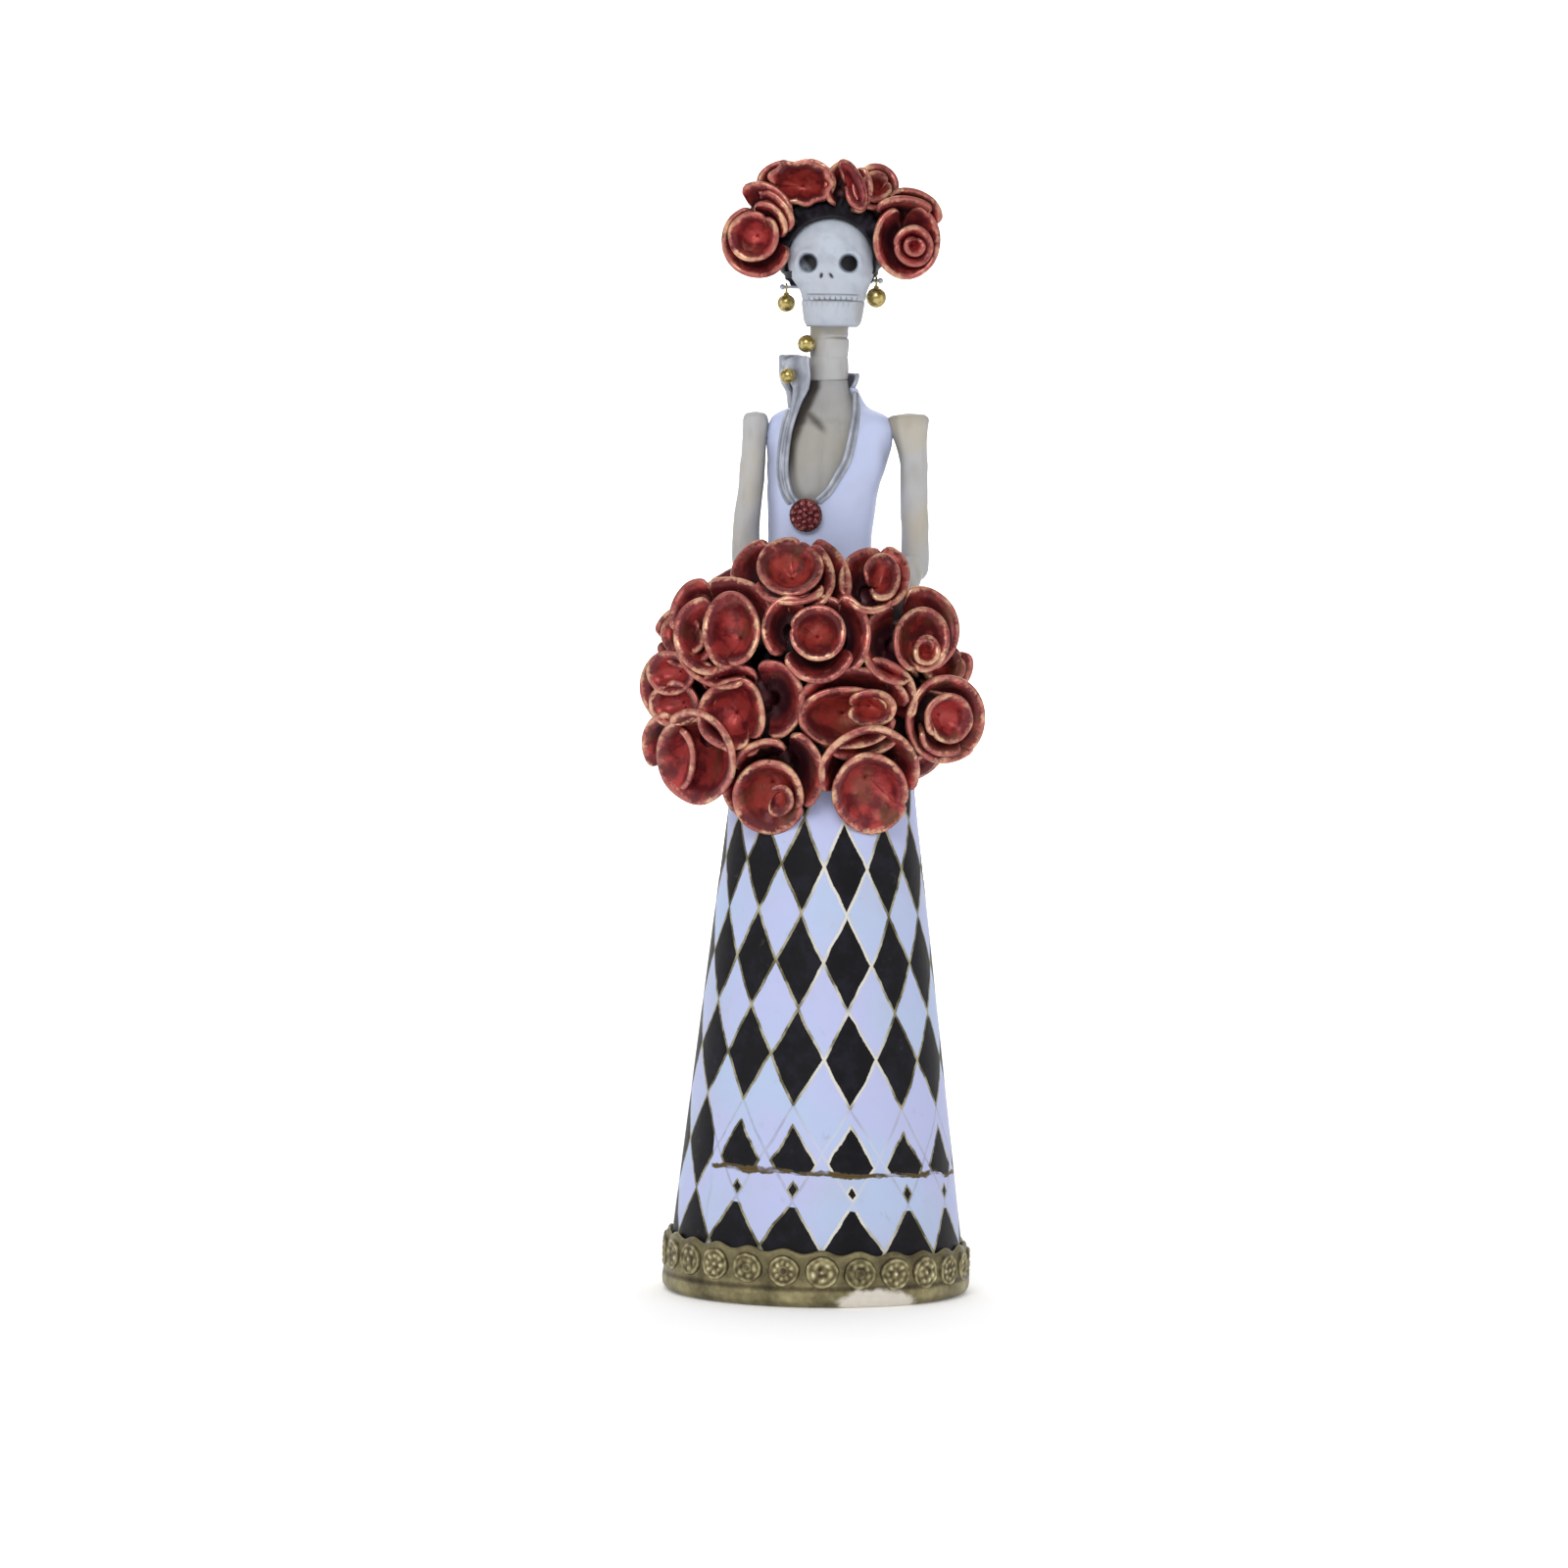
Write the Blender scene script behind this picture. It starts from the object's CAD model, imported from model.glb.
"""Looks of the papier-mache catrina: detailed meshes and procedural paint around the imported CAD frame."""
import bpy
import bmesh
import math
import numpy as np
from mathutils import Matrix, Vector, noise


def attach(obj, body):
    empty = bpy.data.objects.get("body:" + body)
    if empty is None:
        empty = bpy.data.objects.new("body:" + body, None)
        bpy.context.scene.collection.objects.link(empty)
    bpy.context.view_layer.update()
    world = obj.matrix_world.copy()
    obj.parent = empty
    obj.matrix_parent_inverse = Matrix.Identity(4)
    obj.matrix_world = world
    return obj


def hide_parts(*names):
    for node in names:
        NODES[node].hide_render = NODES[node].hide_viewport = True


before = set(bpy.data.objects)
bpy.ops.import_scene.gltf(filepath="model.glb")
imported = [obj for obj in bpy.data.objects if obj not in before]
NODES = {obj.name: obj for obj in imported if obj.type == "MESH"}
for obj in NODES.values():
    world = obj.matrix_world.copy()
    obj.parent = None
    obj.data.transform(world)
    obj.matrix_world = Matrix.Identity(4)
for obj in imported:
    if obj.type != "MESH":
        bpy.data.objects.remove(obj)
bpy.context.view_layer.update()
MM = 0.001
scene = bpy.context.scene
rng = np.random.RandomState(7)


# ------------------------------------------------------------------ helpers
def smooth(t):
    t = min(1.0, max(0.0, t))
    return t * t * (3 - 2 * t)


def bump(d, w):
    """1 at d = 0, fading to 0 at |d| = w."""
    return smooth(1 - abs(d) / w) if abs(d) < w else 0.0


def nz(x, y, z, s, seed=0.0):
    """Smooth noise, about -1..1, with features of s millimetres."""
    return noise.noise(Vector((x / s + seed, y / s - seed * 0.7, z / s + seed * 1.3)))


def catmull(pts, n):
    """n points on a smooth curve through pts (tuples of any length), evenly spaced."""
    p = np.array(pts, float)
    p = np.vstack([2 * p[0] - p[1], p, 2 * p[-1] - p[-2]])
    out = []
    for i in range(1, len(p) - 2):
        for t in np.linspace(0, 1, 24, endpoint=False):
            a, b, c, d = p[i - 1], p[i], p[i + 1], p[i + 2]
            out.append(0.5 * ((2 * b) + (c - a) * t + (2 * a - 5 * b + 4 * c - d) * t * t + (-a + 3 * b - 3 * c + d) * t ** 3))
    out.append(p[-2])
    out = np.array(out)
    seg = np.r_[0, np.cumsum(np.linalg.norm(np.diff(out, axis=0), axis=1))]
    want = np.linspace(0, seg[-1], n)
    return np.stack([np.interp(want, seg, out[:, k]) for k in range(out.shape[1])], axis=1)


def table_fn(rows):
    """A smooth interpolating function of the first column."""
    a = np.array(rows, float)

    def f(x):
        x = min(max(x, a[0, 0]), a[-1, 0])
        i = min(int(np.searchsorted(a[:, 0], x, side="right")) - 1, len(a) - 2)
        h = a[i + 1, 0] - a[i, 0]
        t = (x - a[i, 0]) / h

        def slope(k):
            if k <= 0 or k >= len(a) - 1:
                j = min(max(k, 0), len(a) - 1)
                j0, j1 = (0, 1) if j == 0 else (len(a) - 2, len(a) - 1)
                return (a[j1, 1:] - a[j0, 1:]) / (a[j1, 0] - a[j0, 0])
            return (a[k + 1, 1:] - a[k - 1, 1:]) / (a[k + 1, 0] - a[k - 1, 0])
        m0, m1 = slope(i) * h, slope(i + 1) * h
        return ((2 * t ** 3 - 3 * t * t + 1) * a[i, 1:] + (t ** 3 - 2 * t * t + t) * m0
                + (-2 * t ** 3 + 3 * t * t) * a[i + 1, 1:] + (t ** 3 - t * t) * m1)
    return f


class Shape:
    """Collects vertices (mm), faces and per-vertex numbers for one piece."""

    def __init__(self):
        self.v, self.f, self.m, self.a = [], [], [], {}

    def add(self, verts, faces, mat=0, **attrs):
        base = len(self.v)
        self.v += [tuple(float(c) for c in p) for p in verts]
        self.f += [tuple(base + i for i in q) for q in faces]
        self.m += [mat] * len(faces)
        for k in set(self.a) | set(attrs):
            old = self.a.setdefault(k, [0.0] * base)
            new = attrs.get(k)
            old += [float(x) for x in new] if new is not None else [0.0] * len(verts)
        return base

    def build(self, name, body, mats, cad=(), weld=False):
        me = bpy.data.meshes.new(name)
        me.from_pydata([(x * MM, y * MM, z * MM) for x, y, z in self.v], [], self.f)
        for k, vals in self.a.items():
            me.attributes.new(k, "FLOAT", "POINT").data.foreach_set("value", vals)
        for m in (mats if isinstance(mats, (list, tuple)) else [mats]):
            me.materials.append(m)
        me.polygons.foreach_set("material_index", self.m)
        me.polygons.foreach_set("use_smooth", [True] * len(me.polygons))
        me.update()
        me.validate()
        bm = bmesh.new()
        bm.from_mesh(me)
        if weld:
            bmesh.ops.remove_doubles(bm, verts=bm.verts, dist=2e-6)
        bmesh.ops.recalc_face_normals(bm, faces=bm.faces)
        bm.to_mesh(me)
        bm.free()
        o = bpy.data.objects.new(name, me)
        scene.collection.objects.link(o)
        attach(o, body)
        if cad:
            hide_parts(*cad)
        return o


def rings(ring_list, cap0=True, cap1=True):
    """Skins closed rings of equal length. Returns verts, faces."""
    n = len(ring_list[0])
    v = [p for r in ring_list for p in r]
    f = []
    for i in range(len(ring_list) - 1):
        for k in range(n):
            a, b = i * n + k, i * n + (k + 1) % n
            f.append((a, b, b + n, a + n))
    if cap0:
        c = np.mean(np.array(ring_list[0]), axis=0)
        v.append(tuple(c))
        f += [(len(v) - 1, (k + 1) % n, k) for k in range(n)]
    if cap1:
        c = np.mean(np.array(ring_list[-1]), axis=0)
        v.append(tuple(c))
        o = (len(ring_list) - 1) * n
        f += [(len(v) - 1, o + k, o + (k + 1) % n) for k in range(n)]
    return v, f


def ball(c, r, nu=28, nv=18, axis=(0, 0, 1), wob=0.0, seed=0.0, sq=(1, 1, 1)):
    """A closed, slightly uneven ball with its poles along axis."""
    ax = Vector(axis).normalized()
    q = ax.to_track_quat("Z", "Y")
    rl = []
    for j in range(1, nv):
        ph = math.pi * j / nv
        ring = []
        for i in range(nu):
            th = 2 * math.pi * i / nu
            d = Vector((math.sin(ph) * math.cos(th) * sq[0], math.sin(ph) * math.sin(th) * sq[1], math.cos(ph) * sq[2]))
            k = 1 + wob * noise.noise(d * 1.7 + Vector((seed, seed * 2, -seed)))
            ring.append(tuple(Vector(c) + q @ (d * r * k)))
        rl.append(ring)
    v, f = rings(rl, False, False)
    top = tuple(Vector(c) + q @ Vector((0, 0, r * sq[2])))
    bot = tuple(Vector(c) - q @ Vector((0, 0, r * sq[2])))
    v += [top, bot]
    n = len(v)
    f += [(n - 2, (k + 1) % nu, k) for k in range(nu)]
    o = (nv - 2) * nu
    f += [(n - 1, o + k, o + (k + 1) % nu) for k in range(nu)]
    return v, f


def torus(c, R, r, axis, nu=40, nv=14):
    q = Vector(axis).normalized().to_track_quat("Z", "Y")
    v, f = [], []
    for i in range(nu):
        a = 2 * math.pi * i / nu
        for j in range(nv):
            b = 2 * math.pi * j / nv
            v.append(tuple(Vector(c) + q @ Vector(((R + r * math.cos(b)) * math.cos(a), (R + r * math.cos(b)) * math.sin(a), r * math.sin(b)))))
    for i in range(nu):
        for j in range(nv):
            f.append((i * nv + j, ((i + 1) % nu) * nv + j, ((i + 1) % nu) * nv + (j + 1) % nv, i * nv + (j + 1) % nv))
    return v, f


def tube(path, radius, n=14):
    """A closed round tube along path, with rounded ends. radius is a number or a function of 0..1."""
    p = [Vector(q) for q in path]
    rad = radius if callable(radius) else (lambda t: radius)
    up = None
    out = []
    m = len(p) - 1
    for i, c in enumerate(p):
        t = (p[min(i + 1, m)] - p[max(i - 1, 0)]).normalized()
        if up is None:
            up = t.orthogonal().normalized()
        up = (up - t * up.dot(t)).normalized()
        side = t.cross(up)
        r = rad(i / m)
        ends = []
        if i == 0:
            ends = [(-0.85, 0.5), (-0.5, 0.85)]
        out += [[tuple(c + t * (e * r) + (up * math.cos(a) + side * math.sin(a)) * r * k)
                 for a in (2 * math.pi * s / n for s in range(n))] for e, k in ends]
        out.append([tuple(c + (up * math.cos(a) + side * math.sin(a)) * r) for a in (2 * math.pi * s / n for s in range(n))])
        if i == m:
            out += [[tuple(c + t * (e * r) + (up * math.cos(a) + side * math.sin(a)) * r * k)
                     for a in (2 * math.pi * s / n for s in range(n))] for e, k in [(0.5, 0.85), (0.85, 0.5)]]
    return rings(out)


# ---------------------------------------------------------------- materials
class Nodes:
    """A short hand for shader nodes."""

    def __init__(self, name):
        self.mat = bpy.data.materials.new(name)
        self.mat.use_nodes = True
        self.t = self.mat.node_tree
        self.b = self.t.nodes["Principled BSDF"]
        self.obj = self.t.nodes.new("ShaderNodeTexCoord").outputs["Object"]

    def link(self, a, b):
        self.t.links.new(a, b)

    def put(self, sock, val):
        if isinstance(val, (int, float)):
            sock.default_value = val
        elif isinstance(val, (tuple, list)):
            sock.default_value = (*val, 1) if len(val) == 3 and sock.type == "RGBA" else val
        else:
            self.link(val, sock)

    def math(self, op, a, b=0.0, c=None, clamp=False):
        n = self.t.nodes.new("ShaderNodeMath")
        n.operation = op
        n.use_clamp = clamp
        self.put(n.inputs[0], a)
        self.put(n.inputs[1], b)
        if c is not None:
            self.put(n.inputs[2], c)
        return n.outputs[0]

    def noise(self, scale, detail=3, rough=0.55, vec=None, dist=0.0):
        n = self.t.nodes.new("ShaderNodeTexNoise")
        self.link(vec or self.obj, n.inputs["Vector"])
        n.inputs["Scale"].default_value = scale
        n.inputs["Detail"].default_value = detail
        n.inputs["Roughness"].default_value = rough
        n.inputs["Distortion"].default_value = dist
        return n.outputs["Fac"]

    def voronoi(self, scale, feature="F1", vec=None):
        n = self.t.nodes.new("ShaderNodeTexVoronoi")
        n.feature = feature
        self.link(vec or self.obj, n.inputs["Vector"])
        n.inputs["Scale"].default_value = scale
        return n.outputs["Distance"]

    def ramp(self, fac, stops):
        n = self.t.nodes.new("ShaderNodeValToRGB")
        self.put(n.inputs[0], fac)
        e = n.color_ramp.elements
        e[0].position, e[1].position = stops[0][0], stops[-1][0]
        for s in stops[1:-1]:
            e.new(s[0])
        for el, (p, c) in zip(e, stops):
            el.color = (*c, 1) if isinstance(c, (tuple, list)) else (c, c, c, 1)
        return n.outputs[0]

    def step(self, x, lo, hi):
        """0 below lo, 1 above hi, smooth between."""
        n = self.t.nodes.new("ShaderNodeMapRange")
        n.interpolation_type = "SMOOTHSTEP"
        self.put(n.inputs[0], x)
        n.inputs[1].default_value, n.inputs[2].default_value = lo, hi
        return n.outputs[0]

    def mix(self, fac, a, b, mode="MIX"):
        n = self.t.nodes.new("ShaderNodeMix")
        n.data_type = "RGBA"
        n.blend_type = mode
        self.put(n.inputs[0], fac)
        self.put(n.inputs[6], a)
        self.put(n.inputs[7], b)
        return n.outputs[2]

    def attr(self, name):
        n = self.t.nodes.new("ShaderNodeAttribute")
        n.attribute_name = name
        return n.outputs["Fac"]

    def xyz(self, vec=None):
        n = self.t.nodes.new("ShaderNodeSeparateXYZ")
        self.link(vec or self.obj, n.inputs[0])
        return n.outputs

    def stretch(self, sx, sy, sz, vec=None):
        n = self.t.nodes.new("ShaderNodeVectorMath")
        n.operation = "MULTIPLY"
        self.link(vec or self.obj, n.inputs[0])
        n.inputs[1].default_value = (sx, sy, sz)
        return n.outputs[0]

    def bump(self, height, dist_mm, strength=1.0):
        n = self.t.nodes.new("ShaderNodeBump")
        n.inputs["Distance"].default_value = dist_mm * MM
        n.inputs["Strength"].default_value = strength
        self.link(height, n.inputs["Height"])
        old = self.b.inputs["Normal"]
        if old.is_linked:
            self.link(old.links[0].from_socket, n.inputs["Normal"])
        self.link(n.outputs[0], old)

    def done(self, color, rough=None, metal=None, **uniform):
        self.put(self.b.inputs["Base Color"], color)
        if rough is not None:
            self.put(self.b.inputs["Roughness"], rough)
        if metal is not None:
            self.put(self.b.inputs["Metallic"], metal)
        for k, v in uniform.items():
            self.b.inputs[k.replace("_", " ")].default_value = v
        return self.mat


def lin(r, g, b):
    """sRGB 0..255 to linear."""
    return tuple((c / 255 / 12.92) if c / 255 <= 0.04045 else ((c / 255 + 0.055) / 1.055) ** 2.4 for c in (r, g, b))


def paper_bump(n, amount=1.0):
    """The soft unevenness of layered paper under paint, with brush marks."""
    n.bump(n.noise(260, 3, 0.5), 0.22 * amount, 0.5)
    n.bump(n.noise(1500, 2, 0.5, n.stretch(1, 1, 0.3)), 0.035 * amount, 0.5)


def mat_bone(name, base, warm, grey, streak=(1, 1, 0.16)):
    n = Nodes(name)
    big = n.noise(150, 3, 0.6)
    brush = n.noise(900, 3, 0.6, n.stretch(*streak))
    col = n.mix(n.step(big, 0.42, 0.66), base, warm)
    col = n.mix(n.math("MULTIPLY", n.step(brush, 0.5, 0.75), 0.55), col, grey)
    dark = n.attr("dark")
    col = n.mix(dark, col, lin(34, 32, 36))
    col = n.mix(n.math("MULTIPLY", n.attr("stain"), 0.55), col, lin(136, 124, 100))
    paper_bump(n)
    rough = n.math("ADD", 0.42, n.math("MULTIPLY", big, 0.22))
    return n.done(col, rough, 0.0, Specular_IOR_Level=0.4)


BONE = mat_bone("bone_paint", lin(186, 187, 190), lin(188, 183, 172), lin(164, 165, 172))
CHEST = mat_bone("chest_paint", lin(164, 165, 170), lin(165, 163, 158), lin(150, 151, 158))
SKULL = mat_bone("skull_paint", lin(187, 196, 210), lin(180, 185, 196), lin(158, 164, 178), (0.5, 0.5, 0.5))


def dress_shade(n, col):
    """Plain lavender-white paint turning greyer and a little warmer in streaks."""
    soft = n.noise(110, 3, 0.6)
    return n.mix(n.math("MULTIPLY", n.step(soft, 0.45, 0.75), 0.35), col, lin(186, 186, 206))


def make_dress():
    n = Nodes("dress_paint")
    col = dress_shade(n, lin(193, 203, 237))
    col = n.mix(n.attr("grey"), col, lin(128, 131, 148))
    col = n.mix(n.attr("dark"), col, lin(62, 60, 74))
    paper_bump(n, 0.8)
    return n.done(col, n.math("ADD", 0.34, n.math("MULTIPLY", n.noise(300, 2), 0.16)), 0.0, Specular_IOR_Level=0.5)


DRESS = make_dress()


def make_trim():
    n = Nodes("silver_trim_paint")
    w = n.noise(700, 3, 0.55, n.stretch(1, 1, 0.5))
    col = n.ramp(w, [(0.3, lin(134, 139, 152)), (0.5, lin(160, 165, 178)), (0.68, lin(188, 193, 204))])
    col = n.mix(n.attr("dark"), col, lin(52, 50, 58))
    n.bump(w, 0.06, 0.7)
    return n.done(col, 0.4, 0.25, Specular_IOR_Level=0.5)


TRIM = make_trim()


def make_harlequin():
    """Black and lavender diamonds in 14 columns, outlined by a pale gold line."""
    n = Nodes("harlequin_paint")
    wob = n.t.nodes.new("ShaderNodeTexNoise")
    n.link(n.obj, wob.inputs["Vector"])
    wob.inputs["Scale"].default_value = 170
    wob.inputs["Detail"].default_value = 2
    off = n.t.nodes.new("ShaderNodeVectorMath")
    off.operation = "MULTIPLY_ADD"
    n.link(wob.outputs["Color"], off.inputs[0])
    off.inputs[1].default_value = (0.0009, 0.0009, 0.0012)
    n.link(n.obj, off.inputs[2])
    x, y, z = n.xyz(off.outputs[0])
    phi = n.math("ARCTAN2", x, n.math("MULTIPLY", y, -1.0))
    zt = n.math("ADD", z, n.math("MULTIPLY", x, math.tan(math.radians(2.9))))
    # radius of the skirt at this height, then half a diamond's width
    r = n.math("SUBTRACT", 0.01874, n.math("MULTIPLY", z, 0.118))
    a = n.math("MULTIPLY", r, math.pi / 14)
    b = 0.00582
    cols = 14 / (2 * math.pi)
    u = n.math("SUBTRACT", n.math("MULTIPLY", phi, cols), (math.radians(14.2 + 2.0) * cols) % 1.0 - 0.5)
    v = n.math("SUBTRACT", n.math("DIVIDE", zt, 2 * b), (0.0541 / (2 * b)) % 1.0 - 0.5)
    du = n.math("ABSOLUTE", n.math("SUBTRACT", n.math("FRACT", u), 0.5))
    dv = n.math("ABSOLUTE", n.math("SUBTRACT", n.math("FRACT", v), 0.5))
    # distance to the diamond's edge in metres, positive inside the black ones
    k = n.math("SUBTRACT", 0.5, n.math("ADD", du, dv))
    inv = n.math("SQRT", n.math("ADD", n.math("DIVIDE", 1.0, n.math("MULTIPLY", a, a)), 1.0 / (b * b)))
    d = n.math("DIVIDE", n.math("MULTIPLY", k, 2.0), inv)
    d_all = d
    # a strip pasted round the front of the hem cuts one row of black diamonds short
    rag = n.math("MULTIPLY", n.math("SUBTRACT", n.noise(210, 4, 0.6), 0.5), 0.0022)
    zr = n.math("ADD", n.math("ADD", z, n.math("MULTIPLY", x, 0.045)), rag)
    front = n.math("MULTIPLY", n.step(phi, math.radians(-52), math.radians(-50)), n.math("SUBTRACT", 1.0, n.step(phi, math.radians(96), math.radians(98))))
    half_w = n.math("MULTIPLY", du, n.math("MULTIPLY", a, 2.0))
    apex = n.math("MULTIPLY", n.math("SUBTRACT", 0.0226, zr), 0.62)
    tri = n.math("SUBTRACT", apex, n.math("MULTIPLY", half_w, 1.0))
    star = n.math("SUBTRACT", 0.00072, n.math("ADD", n.math("MULTIPLY", half_w, 1.1), n.math("MULTIPLY", n.math("ABSOLUTE", n.math("SUBTRACT", zr, 0.0147)), 0.75)))
    above = n.step(zr, 0.01690, 0.01696)
    cut = n.math("ADD", n.math("MULTIPLY", above, tri), n.math("MULTIPLY", n.math("SUBTRACT", 1.0, above), star))
    band = n.math("MULTIPLY", n.math("MULTIPLY", n.step(zt, 0.01262, 0.01266), n.math("SUBTRACT", 1.0, n.step(zt, 0.02490, 0.02496))), front)
    d = n.math("ADD", n.math("MULTIPLY", n.math("SUBTRACT", 1.0, band), d), n.math("MULTIPLY", band, n.math("MINIMUM", d, cut)))
    seam = n.math("MULTIPLY", n.math("MULTIPLY", n.step(zr, 0.01650, 0.01668), n.math("SUBTRACT", 1.0, n.step(zr, 0.01706, 0.01726))), front)
    blot = n.noise(420, 3, 0.6)
    white = dress_shade(n, n.mix(n.step(n.noise(70, 2), 0.4, 0.65), lin(190, 196, 235), lin(184, 200, 232)))
    black = n.mix(n.step(blot, 0.4, 0.7), lin(11, 10, 15), lin(24, 23, 34))
    ragged = n.math("MULTIPLY", n.math("SUBTRACT", n.noise(2600, 2), 0.5), 0.00016)
    e = n.math("ADD", d, ragged)
    e_all = n.math("ADD", d_all, ragged)
    col = n.mix(n.step(e, 0.00004, 0.00014), white, black)
    # the gold line itself: bright where it is fresh, olive and thin elsewhere
    line = n.math("MULTIPLY", n.step(e, -0.00022, -0.00010), n.math("SUBTRACT", 1.0, n.step(e, 0.00012, 0.00022)))
    faint = n.math("SUBTRACT", 1.0, n.math("MULTIPLY", band, 0.72))
    line = n.math("MAXIMUM", line, n.math("MULTIPLY", faint, n.math("MULTIPLY", n.step(e_all, -0.00022, -0.00010), n.math("SUBTRACT", 1.0, n.step(e_all, 0.00012, 0.00022)))))
    fresh = n.math("SUBTRACT", 1.0, n.step(n.math("ABSOLUTE", n.math("SUBTRACT", phi, math.radians(15))), 0.22, 0.46))
    fresh = n.math("MULTIPLY", fresh, n.step(n.noise(150, 2), 0.3, 0.5))
    gold = n.mix(n.step(n.noise(420, 3), 0.38, 0.66), lin(96, 90, 62), lin(176, 170, 142))
    gold = n.mix(fresh, gold, lin(224, 220, 210))
    col = n.mix(line, col, gold)
    # olive-brown dirt under the lines and towards the hem
    col = n.mix(n.math("MULTIPLY", n.step(n.noise(500, 4, 0.65), 0.62, 0.8), 0.25), col, lin(120, 112, 90))
    col = n.mix(n.math("MULTIPLY", seam, n.step(n.noise(330, 2), 0.3, 0.5)), col, lin(92, 78, 46))
    n.bump(line, 0.05, 0.6)
    n.bump(n.math("MULTIPLY", n.math("SUBTRACT", 1.0, n.step(zr, 0.01686, 0.01700)), front), 0.16, 0.8)
    paper_bump(n, 0.9)
    rough = n.math("ADD", 0.42, n.math("MULTIPLY", blot, 0.2))
    return n.done(col, rough, n.math("MULTIPLY", line, 0.25), Specular_IOR_Level=0.18)


HARLEQUIN = make_harlequin()


def make_hair():
    n = Nodes("hair_paint")
    s = n.noise(500, 3, 0.6, n.stretch(1, 0.35, 1))
    col = n.mix(n.step(s, 0.4, 0.7), lin(22, 20, 26), lin(48, 46, 58))
    paper_bump(n, 0.7)
    return n.done(col, n.math("ADD", 0.42, n.math("MULTIPLY", s, 0.2)), 0.0, Specular_IOR_Level=0.2)


HAIR = make_hair()


def make_rose(name, deep, mid, lift):
    """Deep red paint, bronze where it is worn, with pale metal brushed on the rims."""
    n = Nodes(name)
    cloud = n.noise(420, 4, 0.62)
    fine = n.noise(2400, 3, 0.6)
    rim = n.attr("rim")
    inside = n.attr("inner")
    low = n.attr("deep")
    col = n.mix(n.step(cloud, 0.36, 0.66), deep, mid)
    wall = n.math("MULTIPLY", inside, n.math("SUBTRACT", 1.0, n.step(low, 0.16, 0.52)))
    col = n.mix(n.math("MULTIPLY", wall, 0.50), col, lin(86, 30, 32))
    col = n.mix(n.math("MULTIPLY", inside, n.step(n.math("ADD", cloud, n.math("MULTIPLY", low, 0.25)), 0.50, 0.74)), col, lift)
    # bronze here and there, plum in the hollows
    col = n.mix(n.math("MULTIPLY", n.step(n.noise(240, 2), 0.52, 0.70), 0.6), col, lin(112, 74, 50))
    shade = n.math("MULTIPLY", n.math("SUBTRACT", 1.0, inside), n.step(low, 0.25, 0.8))
    col = n.mix(n.math("MULTIPLY", shade, 0.85), col, lin(54, 18, 28))
    col = n.mix(n.math("MULTIPLY", n.attr("outer"), n.step(low, 0.10, 0.75)), col, lin(58, 24, 32))
    grit = n.math("MULTIPLY", n.math("SUBTRACT", n.math("ADD", cloud, n.math("ADD", fine, n.noise(700, 2))), 1.5), 0.9)
    brushed = n.step(n.math("ADD", rim, n.math("MULTIPLY", grit, 1.5)), 0.36, 1.10)
    # stray metal on the broad faces too
    glow = n.math("MULTIPLY", n.step(n.noise(300, 3, 0.6, None, 0.4), 0.60, 0.78), 0.55)
    brushed = n.math("MAXIMUM", brushed, glow)
    hot = n.step(n.noise(340, 3, 0.6), 0.44, 0.66)
    col = n.mix(brushed, col, n.mix(hot, lin(178, 104, 96), lin(226, 178, 146)))
    n.bump(n.noise(900, 3, 0.55), 0.10, 0.6)
    n.bump(fine, 0.03, 0.5)
    rough = n.math("SUBTRACT", n.math("ADD", 0.30, n.math("MULTIPLY", fine, 0.18)), n.math("MULTIPLY", brushed, 0.06))
    return n.done(col, rough, n.math("ADD", 0.34, n.math("MULTIPLY", brushed, 0.30)), Specular_IOR_Level=0.38)


ROSE = make_rose("rose_paint", lin(100, 32, 35), lin(148, 50, 49), lin(170, 62, 54))
ROSE_B = make_rose("rose_paint_bright", lin(112, 32, 40), lin(158, 54, 56), lin(180, 66, 64))


def make_core():
    n = Nodes("bouquet_core_paint")
    c = n.noise(600, 4, 0.6)
    n.bump(c, 0.25, 0.7)
    return n.done(n.mix(n.step(c, 0.4, 0.65), lin(34, 22, 32), lin(70, 34, 44)), 0.6, 0.1)


CORE = make_core()


def make_gilt():
    """Antique olive gold: dark in the hollows, rubbed pale on the high spots."""
    n = Nodes("gilded_paint")
    x, y, z = n.xyz()
    g = n.noise(1100, 4, 0.65)
    h = n.noise(260, 3, 0.6)
    high = n.attr("high")
    col = n.ramp(n.math("ADD", n.math("MULTIPLY", high, 0.55), n.math("MULTIPLY", n.math("ADD", g, h), 0.28)),
                 [(0.20, lin(40, 33, 20)), (0.36, lin(88, 78, 50)), (0.50, lin(128, 119, 84)), (0.66, lin(178, 168, 126)), (0.82, lin(228, 220, 186))])
    # a place at the lower front where the gold is worn to the white ground
    px = n.math("DIVIDE", n.math("SUBTRACT", x, 0.0072), 0.0052)
    pz = n.math("DIVIDE", n.math("SUBTRACT", z, 0.0004), 0.0021)
    pd = n.math("ADD", n.math("MULTIPLY", px, px), n.math("MULTIPLY", pz, pz))
    worn = n.math("SUBTRACT", 1.0, n.step(n.math("ADD", pd, n.math("MULTIPLY", n.math("SUBTRACT", n.noise(420, 4), 0.5), 1.6)), 0.5, 1.1))
    worn = n.math("MULTIPLY", worn, n.step(n.math("MULTIPLY", y, -1.0), 0.005, 0.010))
    col = n.mix(worn, col, n.mix(g, lin(206, 198, 184), lin(232, 226, 216)))
    n.bump(g, 0.09, 0.7)
    n.bump(n.noise(3000, 2), 0.03, 0.6)
    metal = n.math("MULTIPLY", n.math("SUBTRACT", 1.0, worn), 0.45)
    return n.done(col, n.math("ADD", 0.38, n.math("MULTIPLY", g, 0.22)), metal, Specular_IOR_Level=0.5)


GILT = make_gilt()


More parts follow.
